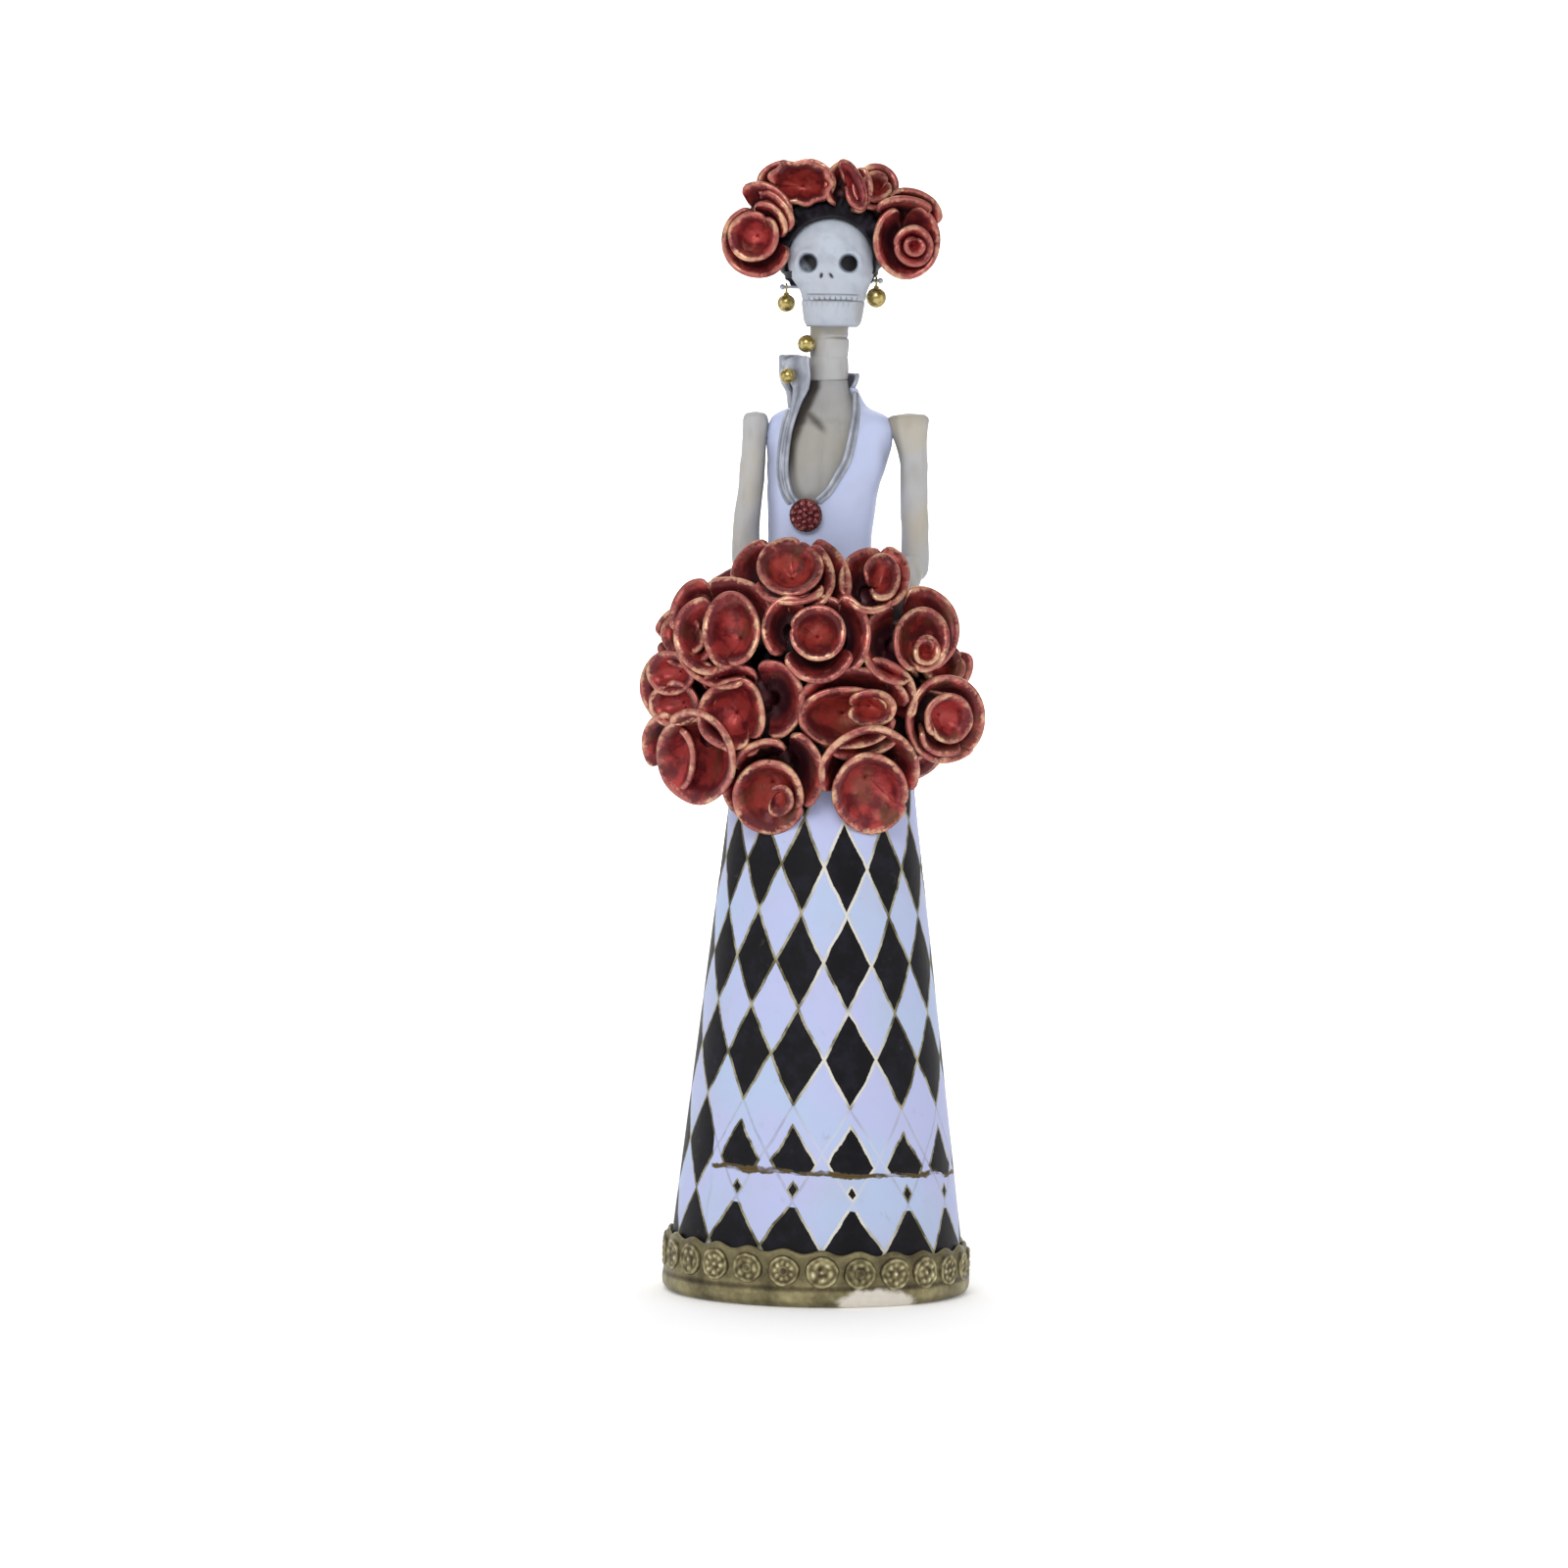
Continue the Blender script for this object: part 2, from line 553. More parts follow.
def make_pearl():
    n = Nodes("gold_bead_paint")
    c = n.noise(1600, 3, 0.55)
    col = n.ramp(c, [(0.3, lin(128, 108, 48)), (0.5, lin(172, 152, 84)), (0.7, lin(208, 194, 136))])
    n.bump(c, 0.05, 0.5)
    return n.done(col, n.math("ADD", 0.2, n.math("MULTIPLY", c, 0.14)), 0.72, Specular_IOR_Level=0.6, Coat_Weight=0.35, Coat_Roughness=0.08)


PEARL = make_pearl()


def make_stone():
    n = Nodes("brooch_stone_paint")
    c = n.noise(2600, 2)
    col = n.ramp(c, [(0.34, lin(62, 8, 16)), (0.54, lin(128, 20, 34)), (0.70, lin(206, 120, 122))])
    return n.done(col, 0.2, 0.0, Specular_IOR_Level=0.8, Coat_Weight=0.6, Coat_Roughness=0.06)


STONE = make_stone()


def make_plain(name, c0, c1, scale, rough, metal, streak=(1, 1, 1), depth=0.05):
    n = Nodes(name)
    w = n.noise(scale, 4, 0.6, n.stretch(*streak))
    n.bump(w, depth, 0.6)
    return n.done(n.mix(n.step(w, 0.36, 0.66), c0, c1), n.math("ADD", rough, n.math("MULTIPLY", w, 0.15)), metal)


BROOCH = make_plain("brooch_plate_paint", lin(58, 22, 26), lin(120, 62, 54), 1800, 0.3, 0.6)
WOOD = make_plain("base_wood", lin(150, 116, 76), lin(188, 152, 106), 420, 0.55, 0.0, (0.12, 1, 1), 0.12)
STEEL = make_plain("wire_steel", lin(120, 120, 122), lin(168, 168, 170), 900, 0.3, 1.0, (1, 1, 0.05), 0.02)
PACKED = make_plain("packed_paper", lin(170, 150, 118), lin(204, 186, 154), 500, 0.8, 0.0, (1, 1, 1), 0.3)
WRAP = make_plain("crown_wrap", lin(60, 24, 26), lin(96, 36, 38), 1500, 0.5, 0.2, (1, 1, 1), 0.12)
BRASS = make_plain("brass_pin_metal", lin(150, 124, 66), lin(196, 172, 108), 2000, 0.25, 1.0, (1, 1, 1), 0.02)


# -------------------------------------------------------------------- roses
def petal(S, C, U, V, N, cx, cz, rx, rz, a0=0.0, a1=400.0, h=0.0, depth=2.9, base=0.03, roll=0.85, th=0.31,
          grow=0.05, tilt=(0.0, 0.0), open_=80.0, wav=0.05, pleat=(0.0, 0), corner=1.5, low=0.45, pinch=None, rot=0.0, seed=0):
    """One strip of curled paper: a bowl-shaped wall swept from angle a0 to a1, with a thick rounded rim.

    cx, cz centre it in the rose's plane, rx and rz are its half widths there, h is how far its rim stands out,
    depth how deep it goes, base how near the middle it starts, tilt how the rim slopes across and up.
    """
    span = math.radians(abs(a1 - a0))
    n = max(10, int(abs(a1 - a0) / 5.5))
    length = span * (rx + rz) / 2
    fm = math.radians(open_)
    m = 11
    secs, rim_a, inn_a, deep_a = [], [], [], []
    for i in range(n + 1):
        s = i / n
        ang = math.radians(a0 + (a1 - a0) * s)
        ca, sa = math.cos(ang), math.sin(ang)
        g = (1 + grow * (2 * s - 1)) * (1 + wav * noise.noise(Vector((ca * 1.1 + seed, sa * 1.1, s * 1.5 + seed * 0.37))))
        if pinch:
            d = (math.degrees(ang) - pinch[0] + 180) % 360 - 180
            g *= 1 + pinch[1] * math.exp(-(d / pinch[2]) ** 2)
        hh = h + wav * 3.2 * noise.noise(Vector((ca * 1.3 - seed, sa * 1.3, s * 2 + 5)))
        de = min(s, 1 - s) * length
        e = math.sqrt(max(0.0, 1 - (1 - min(1.0, de / corner)) ** 2))
        tm = low + (1 - low) * e
        ring, ra, ia, da = [], [], [], []

        def centre(t):
            t = t * tm
            f = t * fm
            rho = base + (1 - base) * math.sin(f) / math.sin(fm)
            z = -depth * (math.cos(f) - math.cos(fm)) / (1 - math.cos(fm))
            k = max(0.0, (t - 0.80) / 0.2)
            rr = rho * g
            return rr * rx, rr * rz, roll * 0.55 * k * k, z - roll * 0.42 * k * k * k

        pts = []
        for j in range(m + 1):
            t = j / m
            ax_, az_, out, z = centre(t)
            bx, bz, out2, z2 = centre(max(0.0, t - 0.01))
            r1, r0 = math.hypot(ax_ * ca, az_ * sa) + out, math.hypot(bx * ca, bz * sa) + out2
            if t == 0:
                ex, ez, o3, z3 = centre(0.01)
                r1, r0, z, z2 = math.hypot(ex * ca, ez * sa) + o3, r1, z3, z
            tx, tz = r1 - r0, z - z2
            L = math.hypot(tx, tz) or 1.0
            nx, nzz = -tz / L, tx / L
            pts.append((t, nx, nzz, tx / L, tz / L))
        rad = Vector((ca, sa)).normalized()

        def place(t, dn, dt, sec):
            ax_, az_, out, z = centre(t)
            nx, nzz, tx, tz = sec
            pl = pleat[0] * math.cos(pleat[1] * ang) * smooth(t * 1.4) if pleat[1] else 0.0
            u = cx + (ax_ + pl) * ca + rad.x * (out + nx * dn + tx * dt)
            v = cz + (az_ + pl) * sa + rad.y * (out + nx * dn + tx * dt)
            if rot:
                du, dv = u - cx, v - cz
                cr, sr = math.cos(math.radians(rot)), math.sin(math.radians(rot))
                u, v = cx + du * cr - dv * sr, cz + du * sr + dv * cr
            w = hh * (0.3 + 0.7 * t) + z + nzz * dn + tz * dt + tilt[0] * (u - cx) + tilt[1] * (v - cz)
            return tuple(C + U * u + V * v + N * w)
        w0 = 0.45 + 0.55 * e
        for t, *sec in pts:
            w = th * w0 * (0.75 + 0.35 * t)
            ring.append(place(t, w, 0, sec))
            ra.append(smooth((t * tm - 0.89) / 0.11))
            ia.append(1.0)
            da.append(1 - t)
        for q in (45, 90, 135):
            w = th * w0 * 1.1
            a = math.radians(q)
            ring.append(place(1.0, w * math.cos(a), w * math.sin(a), pts[-1][1:]))
            ra.append(1.0)
            ia.append(0.5)
            da.append(0.0)
        for t, *sec in reversed(pts):
            w = th * w0 * (0.75 + 0.35 * t)
            ring.append(place(t, -w, 0, sec))
            ra.append(smooth((t * tm - 0.93) / 0.07))
            ia.append(0.0)
            da.append(1 - t)
        secs.append(ring)
        rim_a += ra
        inn_a += ia
        deep_a += da
    v, f = rings(secs)
    rim_a += [0.2, 0.2]
    inn_a += [0.0, 0.0]
    deep_a += [0.5, 0.5]
    S.add(v, f, 0, rim=rim_a, inner=inn_a, deep=deep_a, outer=[1.0 if base > 0.12 else 0.0] * len(v))


def rose(name, body, node, C, N, petals, mat, slope=0.95, bud=(2.6, 2.4)):
    """A rolled-paper rose. C is the middle of its mouth, N its axis, petals a list of petal settings."""
    C, N = Vector(C), Vector(N).normalized()
    if abs(N.y) > 0.45:
        sx = max(-slope, min(slope, -N.x / N.y))
        sz = max(-slope, min(slope, -N.z / N.y))
        U, V = Vector((1, sx, 0)), Vector((0, sz, 1))
    else:
        q = N.to_track_quat("Z", "Y")
        U, V = q @ Vector((1, 0, 0)), q @ Vector((0, 1, 0))
    S = Shape()
    for k, p in enumerate(petals):
        petal(S, C, U, V, N, seed=k * 3.7 + abs(C.x) * 0.9 + abs(C.z) * 0.13, **p)
    if bud:
        v, f = ball(C - N * (bud[1] + 3.1), bud[0], 24, 14, N, 0.1, C.x, (1, 1, bud[1] / bud[0]))
        S.add(v, f, 0, rim=[0.0] * len(v), inner=[0.0] * len(v), deep=[1.0] * len(v))
    return S.build(name, body, mat, (node,))


def dome(x, z, out=0.0):
    """A point of the bouquet's outer surface and the outward direction there."""
    c, a = (-1.3, -6.0, 76.6), (22.0, 12.5, 18.0)
    k = 1 - ((x - c[0]) / a[0]) ** 2 - ((z - c[2]) / a[2]) ** 2
    y = c[1] - a[1] * math.sqrt(max(k, 0.02))
    n = Vector(((x - c[0]) / a[0] ** 2, (y - c[1]) / a[1] ** 2, (z - c[2]) / a[2] ** 2)).normalized()
    return Vector((x, y, z)) + n * out, n


def P(cx, cz, rx, rz=None, a0=0, a1=400, h=0.0, **k):
    return dict(cx=cx, cz=cz, rx=rx, rz=rx if rz is None else rz, a0=a0, a1=a1, h=h, **k)


ROSES = {
    # x, z, stand-out, paint, petals
    1: (-4.6, 89.5, 0.0, 0, [
        P(0.2, 0.8, 3.3, 2.9, 60, 450, 0.5, depth=2.6, tilt=(0, -0.12), grow=-0.05),
        P(0.9, -0.4, 3.9, 3.9, -60, 75, 0.2, base=0.35),
        P(-2.4, 0.2, 3.9, 4.1, 85, 205, -0.7, base=0.3),
        P(2.0, -0.7, 4.8, 4.8, -40, 88, -0.6, base=0.3),
        P(0.0, 1.0, 4.9, 4.4, 208, 332, 0.9, base=0.3, roll=0.7)]),
    2: (-12.9, 83.8, 0.0, 1, [
        P(1.5, -1.4, 2.8, 3.9, 250, 640, 0.9, depth=3.0, roll=0.8, grow=0.08),
        P(-1.5, -1.9, 3.5, 4.0, 80, 300, 0.5, base=0.25, roll=0.8),
        P(-2.6, 0.6, 3.2, 3.9, 70, 215, -0.5, base=0.3),
        P(0.8, 0.0, 5.2, 4.6, 5, 125, -0.4, base=0.3),
        P(0.0, -2.4, 5.2, 5.0, 178, 305, -0.2, base=0.3, roll=0.7)]),
    3: (-1.2, 81.9, 0.9, 0, [
        P(0.2, 0.2, 2.75, 2.7, 150, 545, 0.7, depth=2.4, grow=0.04, roll=0.7),
        P(0.1, -1.0, 3.9, 3.9, 192, 355, 0.3, base=0.3, roll=0.9),
        P(-3.1, 0.9, 2.7, 3.3, 45, 255, 0.0, base=0.3),
        P(2.9, -0.1, 3.0, 4.2, -75, 100, -0.1, base=0.3, roll=0.9),
        P(0.0, 1.6, 4.2, 2.9, 35, 150, -0.6, base=0.3)]),
    4: (11.0, 82.6, 0.0, 0, [
        P(1.3, -2.4, 1.2, 1.3, 0, 520, 0.5, depth=1.4, grow=0.2, roll=0.3),
        P(0.9, -1.1, 2.8, 3.4, -120, 262, 0.5, depth=2.8, grow=0.08, roll=0.6),
        P(-1.5, -1.0, 4.3, 4.4, 98, 292, 0.0, base=0.25, roll=0.8),
        P(0.9, 0.2, 4.1, 4.6, -78, 118, -0.4, base=0.25, roll=0.9)]),
    5: (6.0, 89.8, -0.2, 0, [
        P(0.8, -0.6, 1.7, 2.2, -150, 190, 0.6, depth=2.0, roll=0.6),
        P(-0.3, -0.5, 3.1, 3.2, 55, 225, 0.0, base=0.25),
        P(0.6, -0.3, 3.2, 3.2, -80, 92, 0.1, base=0.25),
        P(-0.4, -1.3, 3.2, 2.8, 195, 330, 0.5, base=0.3, roll=0.7)]),
    6: (-18.4, 82.0, -1.2, 0, [
        P(0.0, 0.0, 1.9, 1.9, 0, 400, 0.4, depth=2.0),
        P(0.0, 0.0, 3.0, 3.0, 20, 190, -0.2, base=0.3),
        P(0.0, 0.0, 3.1, 3.1, 185, 380, 0.0, base=0.3)]),
    7: (-19.5, 75.0, -1.0, 1, [
        P(-0.3, 1.8, 2.3, 2.1, 30, 420, 0.3, depth=2.2, roll=0.6),
        P(0.1, -2.0, 2.5, 2.2, 100, 480, 0.3, depth=2.2, roll=0.6),
        P(1.2, 0.0, 3.4, 3.8, -110, 60, 0.1, base=0.3, roll=0.8),
        P(-0.2, 0.0, 3.8, 4.2, 90, 280, -0.6, base=0.3)]),
    8: (-9.4, 74.0, 0.2, 1, [
        P(-1.9, -2.0, 3.4, 3.5, -55, 320, 0.9, depth=3.0, roll=0.8, grow=-0.03, pinch=(68, 0.22, 34)),
        P(2.5, -0.2, 3.8, 4.2, -95, 118, 0.2, base=0.2, roll=0.8),
        P(-1.5, -0.2, 3.9, 3.9, 42, 165, 0.3, base=0.3, roll=0.8),
        P(-0.8, -1.4, 4.8, 4.8, 180, 300, -0.6, base=0.3)]),
    9: (4.0, 73.0, 0.4, 0, [
        P(1.5, 0.3, 2.5, 1.7, -190, 175, 1.0, depth=1.6, roll=0.6),
        P(-1.4, -0.9, 5.2, 3.1, -20, 372, 0.5, depth=3.1, roll=0.8, grow=0.04),
        P(-0.1, -0.3, 6.4, 4.8, 4, 176, 0.0, base=0.25, roll=0.8),
        P(2.0, 0.6, 4.9, 4.8, -30, 105, -0.5, base=0.3),
        P(0.0, -1.0, 5.4, 4.6, 195, 340, -0.7, base=0.3)]),
    10: (15.4, 72.2, 0.0, 1, [
        P(-0.1, -0.4, 2.3, 2.5, 200, 600, 0.6, depth=2.2, roll=0.6),
        P(-0.4, -1.5, 3.0, 2.9, 178, 318, 0.4, base=0.3, roll=0.6),
        P(0.0, -0.6, 4.1, 4.7, -60, 330, -0.1, base=0.2, roll=0.9, depth=3.5)]),
    11: (-17.0, 67.0, 0.0, 1, [
        P(-2.2, -1.2, 2.7, 4.2, -70, 72, 0.2, base=0.1, depth=2.8, roll=0.5),
        P(1.1, -0.6, 4.4, 5.1, 118, 500, 0.5, depth=3.8, roll=0.9, base=0.1, tilt=(0.08, 0.0)),
        P(-3.0, 0.4, 2.4, 3.3, 70, 250, -0.6, base=0.3)]),
    12: (-6.4, 64.0, 0.8, 0, [
        P(0.9, -1.9, 1.5, 1.5, -150, 130, 0.7, depth=1.5, roll=0.5),
        P(-0.1, -1.6, 3.6, 3.9, 330, 716, 0.6, depth=3.1, roll=0.9, grow=0.06),
        P(-0.2, 0.6, 3.9, 4.3, 52, 175, 0.2, base=0.3, roll=0.7),
        P(1.6, 0.9, 4.2, 4.9, -60, 84, 0.3, base=0.3, roll=0.9),
        P(-1.3, -0.5, 4.2, 4.6, 165, 262, -0.5, base=0.3)]),
    13: (5.6, 64.0, 1.0, 1, [
        P(0.0, -0.8, 4.0, 4.0, -30, 352, 0.6, depth=3.1, roll=0.9, tilt=(0, -0.1)),
        P(0.1, 1.3, 5.3, 5.2, -32, 212, 0.1, base=0.25, roll=0.9, depth=3.8)]),
    14: (16.4, 78.6, -2.6, 0, [
        P(0.0, 0.0, 1.9, 1.9, 0, 400, 0.3, depth=2.0),
        P(0.0, 0.0, 3.0, 3.0, 40, 215, -0.2, base=0.3),
        P(0.0, 0.0, 3.0, 3.0, 210, 400, 0.0, base=0.3)]),
    15: (-13.6, 91.2, -2.6, 0, [
        P(0.0, 0.0, 1.8, 1.8, 0, 400, 0.3, depth=2.0),
        P(0.0, 0.0, 3.0, 3.0, -20, 160, -0.2, base=0.3),
        P(0.0, 0.0, 3.0, 3.0, 150, 350, 0.0, base=0.3)]),
    16: (13.6, 64.4, -2.0, 0, [
        P(0.0, 0.0, 2.0, 2.0, 0, 400, 0.3, depth=2.0),
        P(0.0, 0.0, 3.2, 3.2, 60, 230, -0.2, base=0.3),
        P(0.0, 0.0, 3.2, 3.2, 225, 420, 0.0, base=0.3)]),
}

for k, (x, z, out, tone, petals) in ROSES.items():
    c, n = dome(x, z, out - 0.5)
    rose("bouquet_flower_%02d" % k, "figure", "bouquet_rose_%02d" % k, c, n, petals, ROSE_B if tone else ROSE,
         bud=(2.2, 2.6) if k in (6, 14, 15, 16) else (3.0, 2.6))

CROWN = [
    # mouth, axis, paint, petals
    ((-9.0, -3.4, 130.6), (-0.25, -1, -0.05), 1, [
        P(-0.5, -0.1, 2.5, 2.5, 40, 430, 0.4, depth=2.4, roll=0.6),
        P(0.3, 0.3, 3.0, 3.2, -15, 112, 0.3, base=0.3, roll=0.6),
        P(0.4, 0.9, 3.5, 3.9, -12, 100, 0.1, base=0.3, roll=0.7),
        P(0.0, 1.2, 4.0, 4.6, 5, 128, -0.2, base=0.3, roll=0.7),
        P(-0.2, -0.6, 3.8, 4.0, 95, 352, -0.2, base=0.2, roll=0.5, depth=3.2)]),
    ((-4.3, -3.4, 137.0), (-0.1, -1, 0.1), 0, [
        P(0.6, 0.0, 3.4, 2.1, -178, 196, 0.5, depth=2.8, roll=0.6, pleat=(0.15, 9), tilt=(0, 0.3), wav=0.02),
        P(-0.8, 0.1, 3.5, 2.4, 75, 262, -0.3, base=0.25, roll=0.6, wav=0.02),
        P(0.7, 0.2, 3.5, 2.4, -75, 100, -0.5, base=0.25, roll=0.6, wav=0.02)]),
    ((2.0, -3.3, 136.7), (0.2, -1, 0.25), 1, [
        P(0.4, 0.1, 0.8, 2.6, -190, 150, 0.9, depth=1.5, roll=0.8, grow=0.0, rot=24),
        P(-0.5, 0.2, 1.7, 2.5, 60, 250, 0.0, base=0.25, roll=0.6, wav=0.02),
        P(0.5, -0.3, 1.9, 2.7, -90, 80, 0.2, base=0.25, roll=0.8, wav=0.02)]),
    ((5.4, -2.4, 136.9), (0.3, -1, 0.35), 0, [
        P(0.1, -0.1, 1.4, 1.4, 0, 400, 0.2, depth=1.9, roll=0.5),
        P(0.1, 0.0, 2.3, 2.2, -50, 140, 0.0, base=0.25, roll=0.6, wav=0.02),
        P(0.0, 0.0, 2.3, 2.2, 130, 330, -0.2, base=0.25, roll=0.6, wav=0.02)]),
    ((9.2, -3.4, 130.7), (0.25, -1, -0.05), 1, [
        P(1.0, -1.1, 0.9, 0.9, 60, 430, 0.6, depth=1.2, roll=0.3, grow=0.1),
        P(0.9, -1.2, 1.9, 2.0, 150, 560, 0.5, depth=2.1, roll=0.5, grow=0.06),
        P(0.1, -0.5, 3.5, 4.1, 100, 440, 0.1, depth=3.2, roll=0.6, base=0.15),
        P(-0.3, 2.4, 3.5, 1.9, 10, 165, 0.7, base=0.25, roll=0.7),
        P(0.3, 2.2, 3.8, 3.1, -20, 125, 0.0, base=0.25, roll=0.6)]),
    ((10.0, 3.6, 131.9), (1, 0.15, 0.35), 0, [
        P(0.0, 0.0, 1.6, 1.6, 0, 400, 0.3, depth=1.9),
        P(0.0, 0.0, 2.8, 2.8, 20, 190, -0.2, base=0.3),
        P(0.0, 0.0, 2.8, 2.8, 185, 380, 0.0, base=0.3)]),
    ((-9.9, 2.6, 133.6), (-1, 0, 0.5), 1, [
        P(0.0, 0.0, 1.7, 1.7, 60, 460, 0.3, depth=1.9),
        P(0.0, 0.0, 3.0, 3.0, -40, 150, -0.2, base=0.3),
        P(0.0, 0.0, 3.0, 3.0, 140, 330, 0.0, base=0.3)]),
    ((-1.2, 3.2, 137.9), (-0.1, 0.2, 1), 0, [
        P(0.0, 0.0, 1.8, 1.8, 90, 480, 0.2, depth=1.9),
        P(0.0, 0.0, 3.1, 3.1, 0, 190, -0.2, base=0.3),
        P(0.0, 0.0, 3.1, 3.1, 180, 375, 0.0, base=0.3)]),
    ((5.2, 4.7, 136.0), (0.45, 0.5, 0.9), 1, [
        P(0.0, 0.0, 1.6, 1.6, 10, 400, 0.2, depth=1.9),
        P(0.0, 0.0, 2.7, 2.7, 80, 260, -0.2, base=0.3),
        P(0.0, 0.0, 2.7, 2.7, 250, 445, 0.0, base=0.3)]),
]
for k, (c, n, tone, petals) in enumerate(CROWN):
    rose("crown_flower_%02d" % (k + 1), "head", "crown_rose_%02d" % (k + 1), Vector(c), n, petals,
         ROSE_B if tone else ROSE, slope=0.6, bud=(2.0, 2.2))

# the dark wad of paper that the bouquet is stuck to, dented where the dress shows between the roses
S = Shape()
rl = []
for j in range(1, 44):
    ph = math.pi * j / 44
    ring = []
    for i in range(96):
        th = 2 * math.pi * i / 96
        x = -1.3 + 16.4 * math.sin(ph) * math.cos(th)
        z = 76.4 + 13.4 * math.cos(ph)
        y = -6.4 + 6.9 * math.sin(ph) * math.sin(th)
        lump = 0.5 * nz(x, y, z, 3.2) + 0.2 * nz(x, y, z, 1.2, 4)
        y = min(y - lump, -4.9)
        for gx, gz, gr in ((-7.4, 78.4, 2.0), (-2.4, 75.6, 1.7)):
            d = math.hypot(x - gx, z - gz)
            if y < -5 and d < gr:
                y += (-5.2 - y) * smooth((gr - d) / (0.5 * gr))
        ring.append((x + lump * 0.4, y, z + lump * 0.3))
    rl.append(ring)
S.add(*rings(rl))
S.build("bouquet_backing", "figure", CORE, ("bouquet_core",))


# --------------------------------------------------------------------- head
YAW = math.radians(-3)


def turn(x, y, z):
    """The face looks a little towards the figure's right."""
    return x * math.cos(YAW) - y * math.sin(YAW), x * math.sin(YAW) + y * math.cos(YAW), z


SK = table_fn([(122.74, 3.86, -4.85, 1.2), (123.2, 3.95, -4.98, 2.2), (123.8, 4.12, -5.1, 3.2), (125, 4.75, -5.28, 5), (126.4, 5.38, -5.38, 6.1),
               (127.8, 5.5, -5.38, 6.6), (129.2, 5.45, -5.3, 6.8), (130.6, 5.1, -5.0, 6.6), (132, 4.4, -4.3, 5.9), (133.2, 3.4, -3.2, 4.8),
               (134.1, 2.1, -1.7, 3.3), (134.5, 0.8, -0.3, 1.8)])


def face_relief(x, z):
    """How far the face stands out (mm) and how dark its paint is, at a place on the front."""
    d, dark = 0.0, 0.0
    # eye sockets: round, deep, with a soft rim
    for ex, er, side in ((-2.53, 1.18, -1), (2.5, 1.14, 1)):
        r = math.hypot((x - ex) / 1.02, z - 127.3)
        d += 0.16 * bump(r - er - 0.25, 0.55)
        hole = smooth((er + 0.12 - r) / 0.42)
        d -= 1.75 * hole
        dk = smooth((er + 0.04 - r) / 0.34)
        if side < 0:
            # worn paint in the lower outer part of this socket
            wear = smooth((-(x - ex) * 0.8 - (z - 127.3) * 0.55 + 0.15) / 0.7) * smooth((er + 0.15 - r) / 0.2)
            dk *= 1 - 0.72 * wear * (0.6 + 0.4 * nz(x, 0, z, 0.35))
        dark = max(dark, dk)
    # nose: two short slits leaning apart
    for sx, lean in ((-1.02, -0.32), (0.20, 0.32)):
        t = (z - 125.75) / 0.46
        u = x - (sx - lean * t * 0.5)
        k = smooth(1 - abs(t) / 1.05) * bump(u, 0.30)
        d -= 0.55 * k
        dark = max(dark, 0.85 * smooth(k * 1.6))
    d += 0.22 * math.exp(-((x + 0.1) / 1.0) ** 2 - ((z - 126.3) / 0.8) ** 2)
    # brow and cheek bones
    d += 0.20 * math.exp(-((abs(x) - 2.4) / 1.7) ** 2 - ((z - 128.9) / 0.5) ** 2)
    d += 0.28 * math.exp(-((abs(x) - 3.8) / 0.9) ** 2 - ((z - 125.6) / 0.7) ** 2)
    d -= 0.22 * math.exp(-((abs(x) - 3.6) / 0.8) ** 2 - ((z - 124.2) / 0.6) ** 2)
    # the row of upper teeth between two scored lines
    if z < 124.0 and abs(x) < 3.6:
        fade = smooth((3.5 - abs(x)) / 0.5)
        line = bump(z - 123.45, 0.14)
        d -= 0.14 * line * fade
        dark = max(dark, 0.42 * line * fade)
        if z < 123.40:
            ph = (x + 0.31) / 0.66
            gap = bump((ph - round(ph)) * 0.66, 0.12)
            k = gap * fade * smooth((123.4 - z) / 0.25)
            d += 0.12 * fade * smooth((123.4 - z) / 0.2) - 0.24 * k
            dark = max(dark, 0.62 * k * smooth((123.25 - z) / 0.3))
        lip = smooth((122.92 - z) / 0.16)
        dark = max(dark, 0.55 * lip * smooth((2.7 - abs(x)) / 0.8))
        d -= 0.10 * lip
    return d, dark


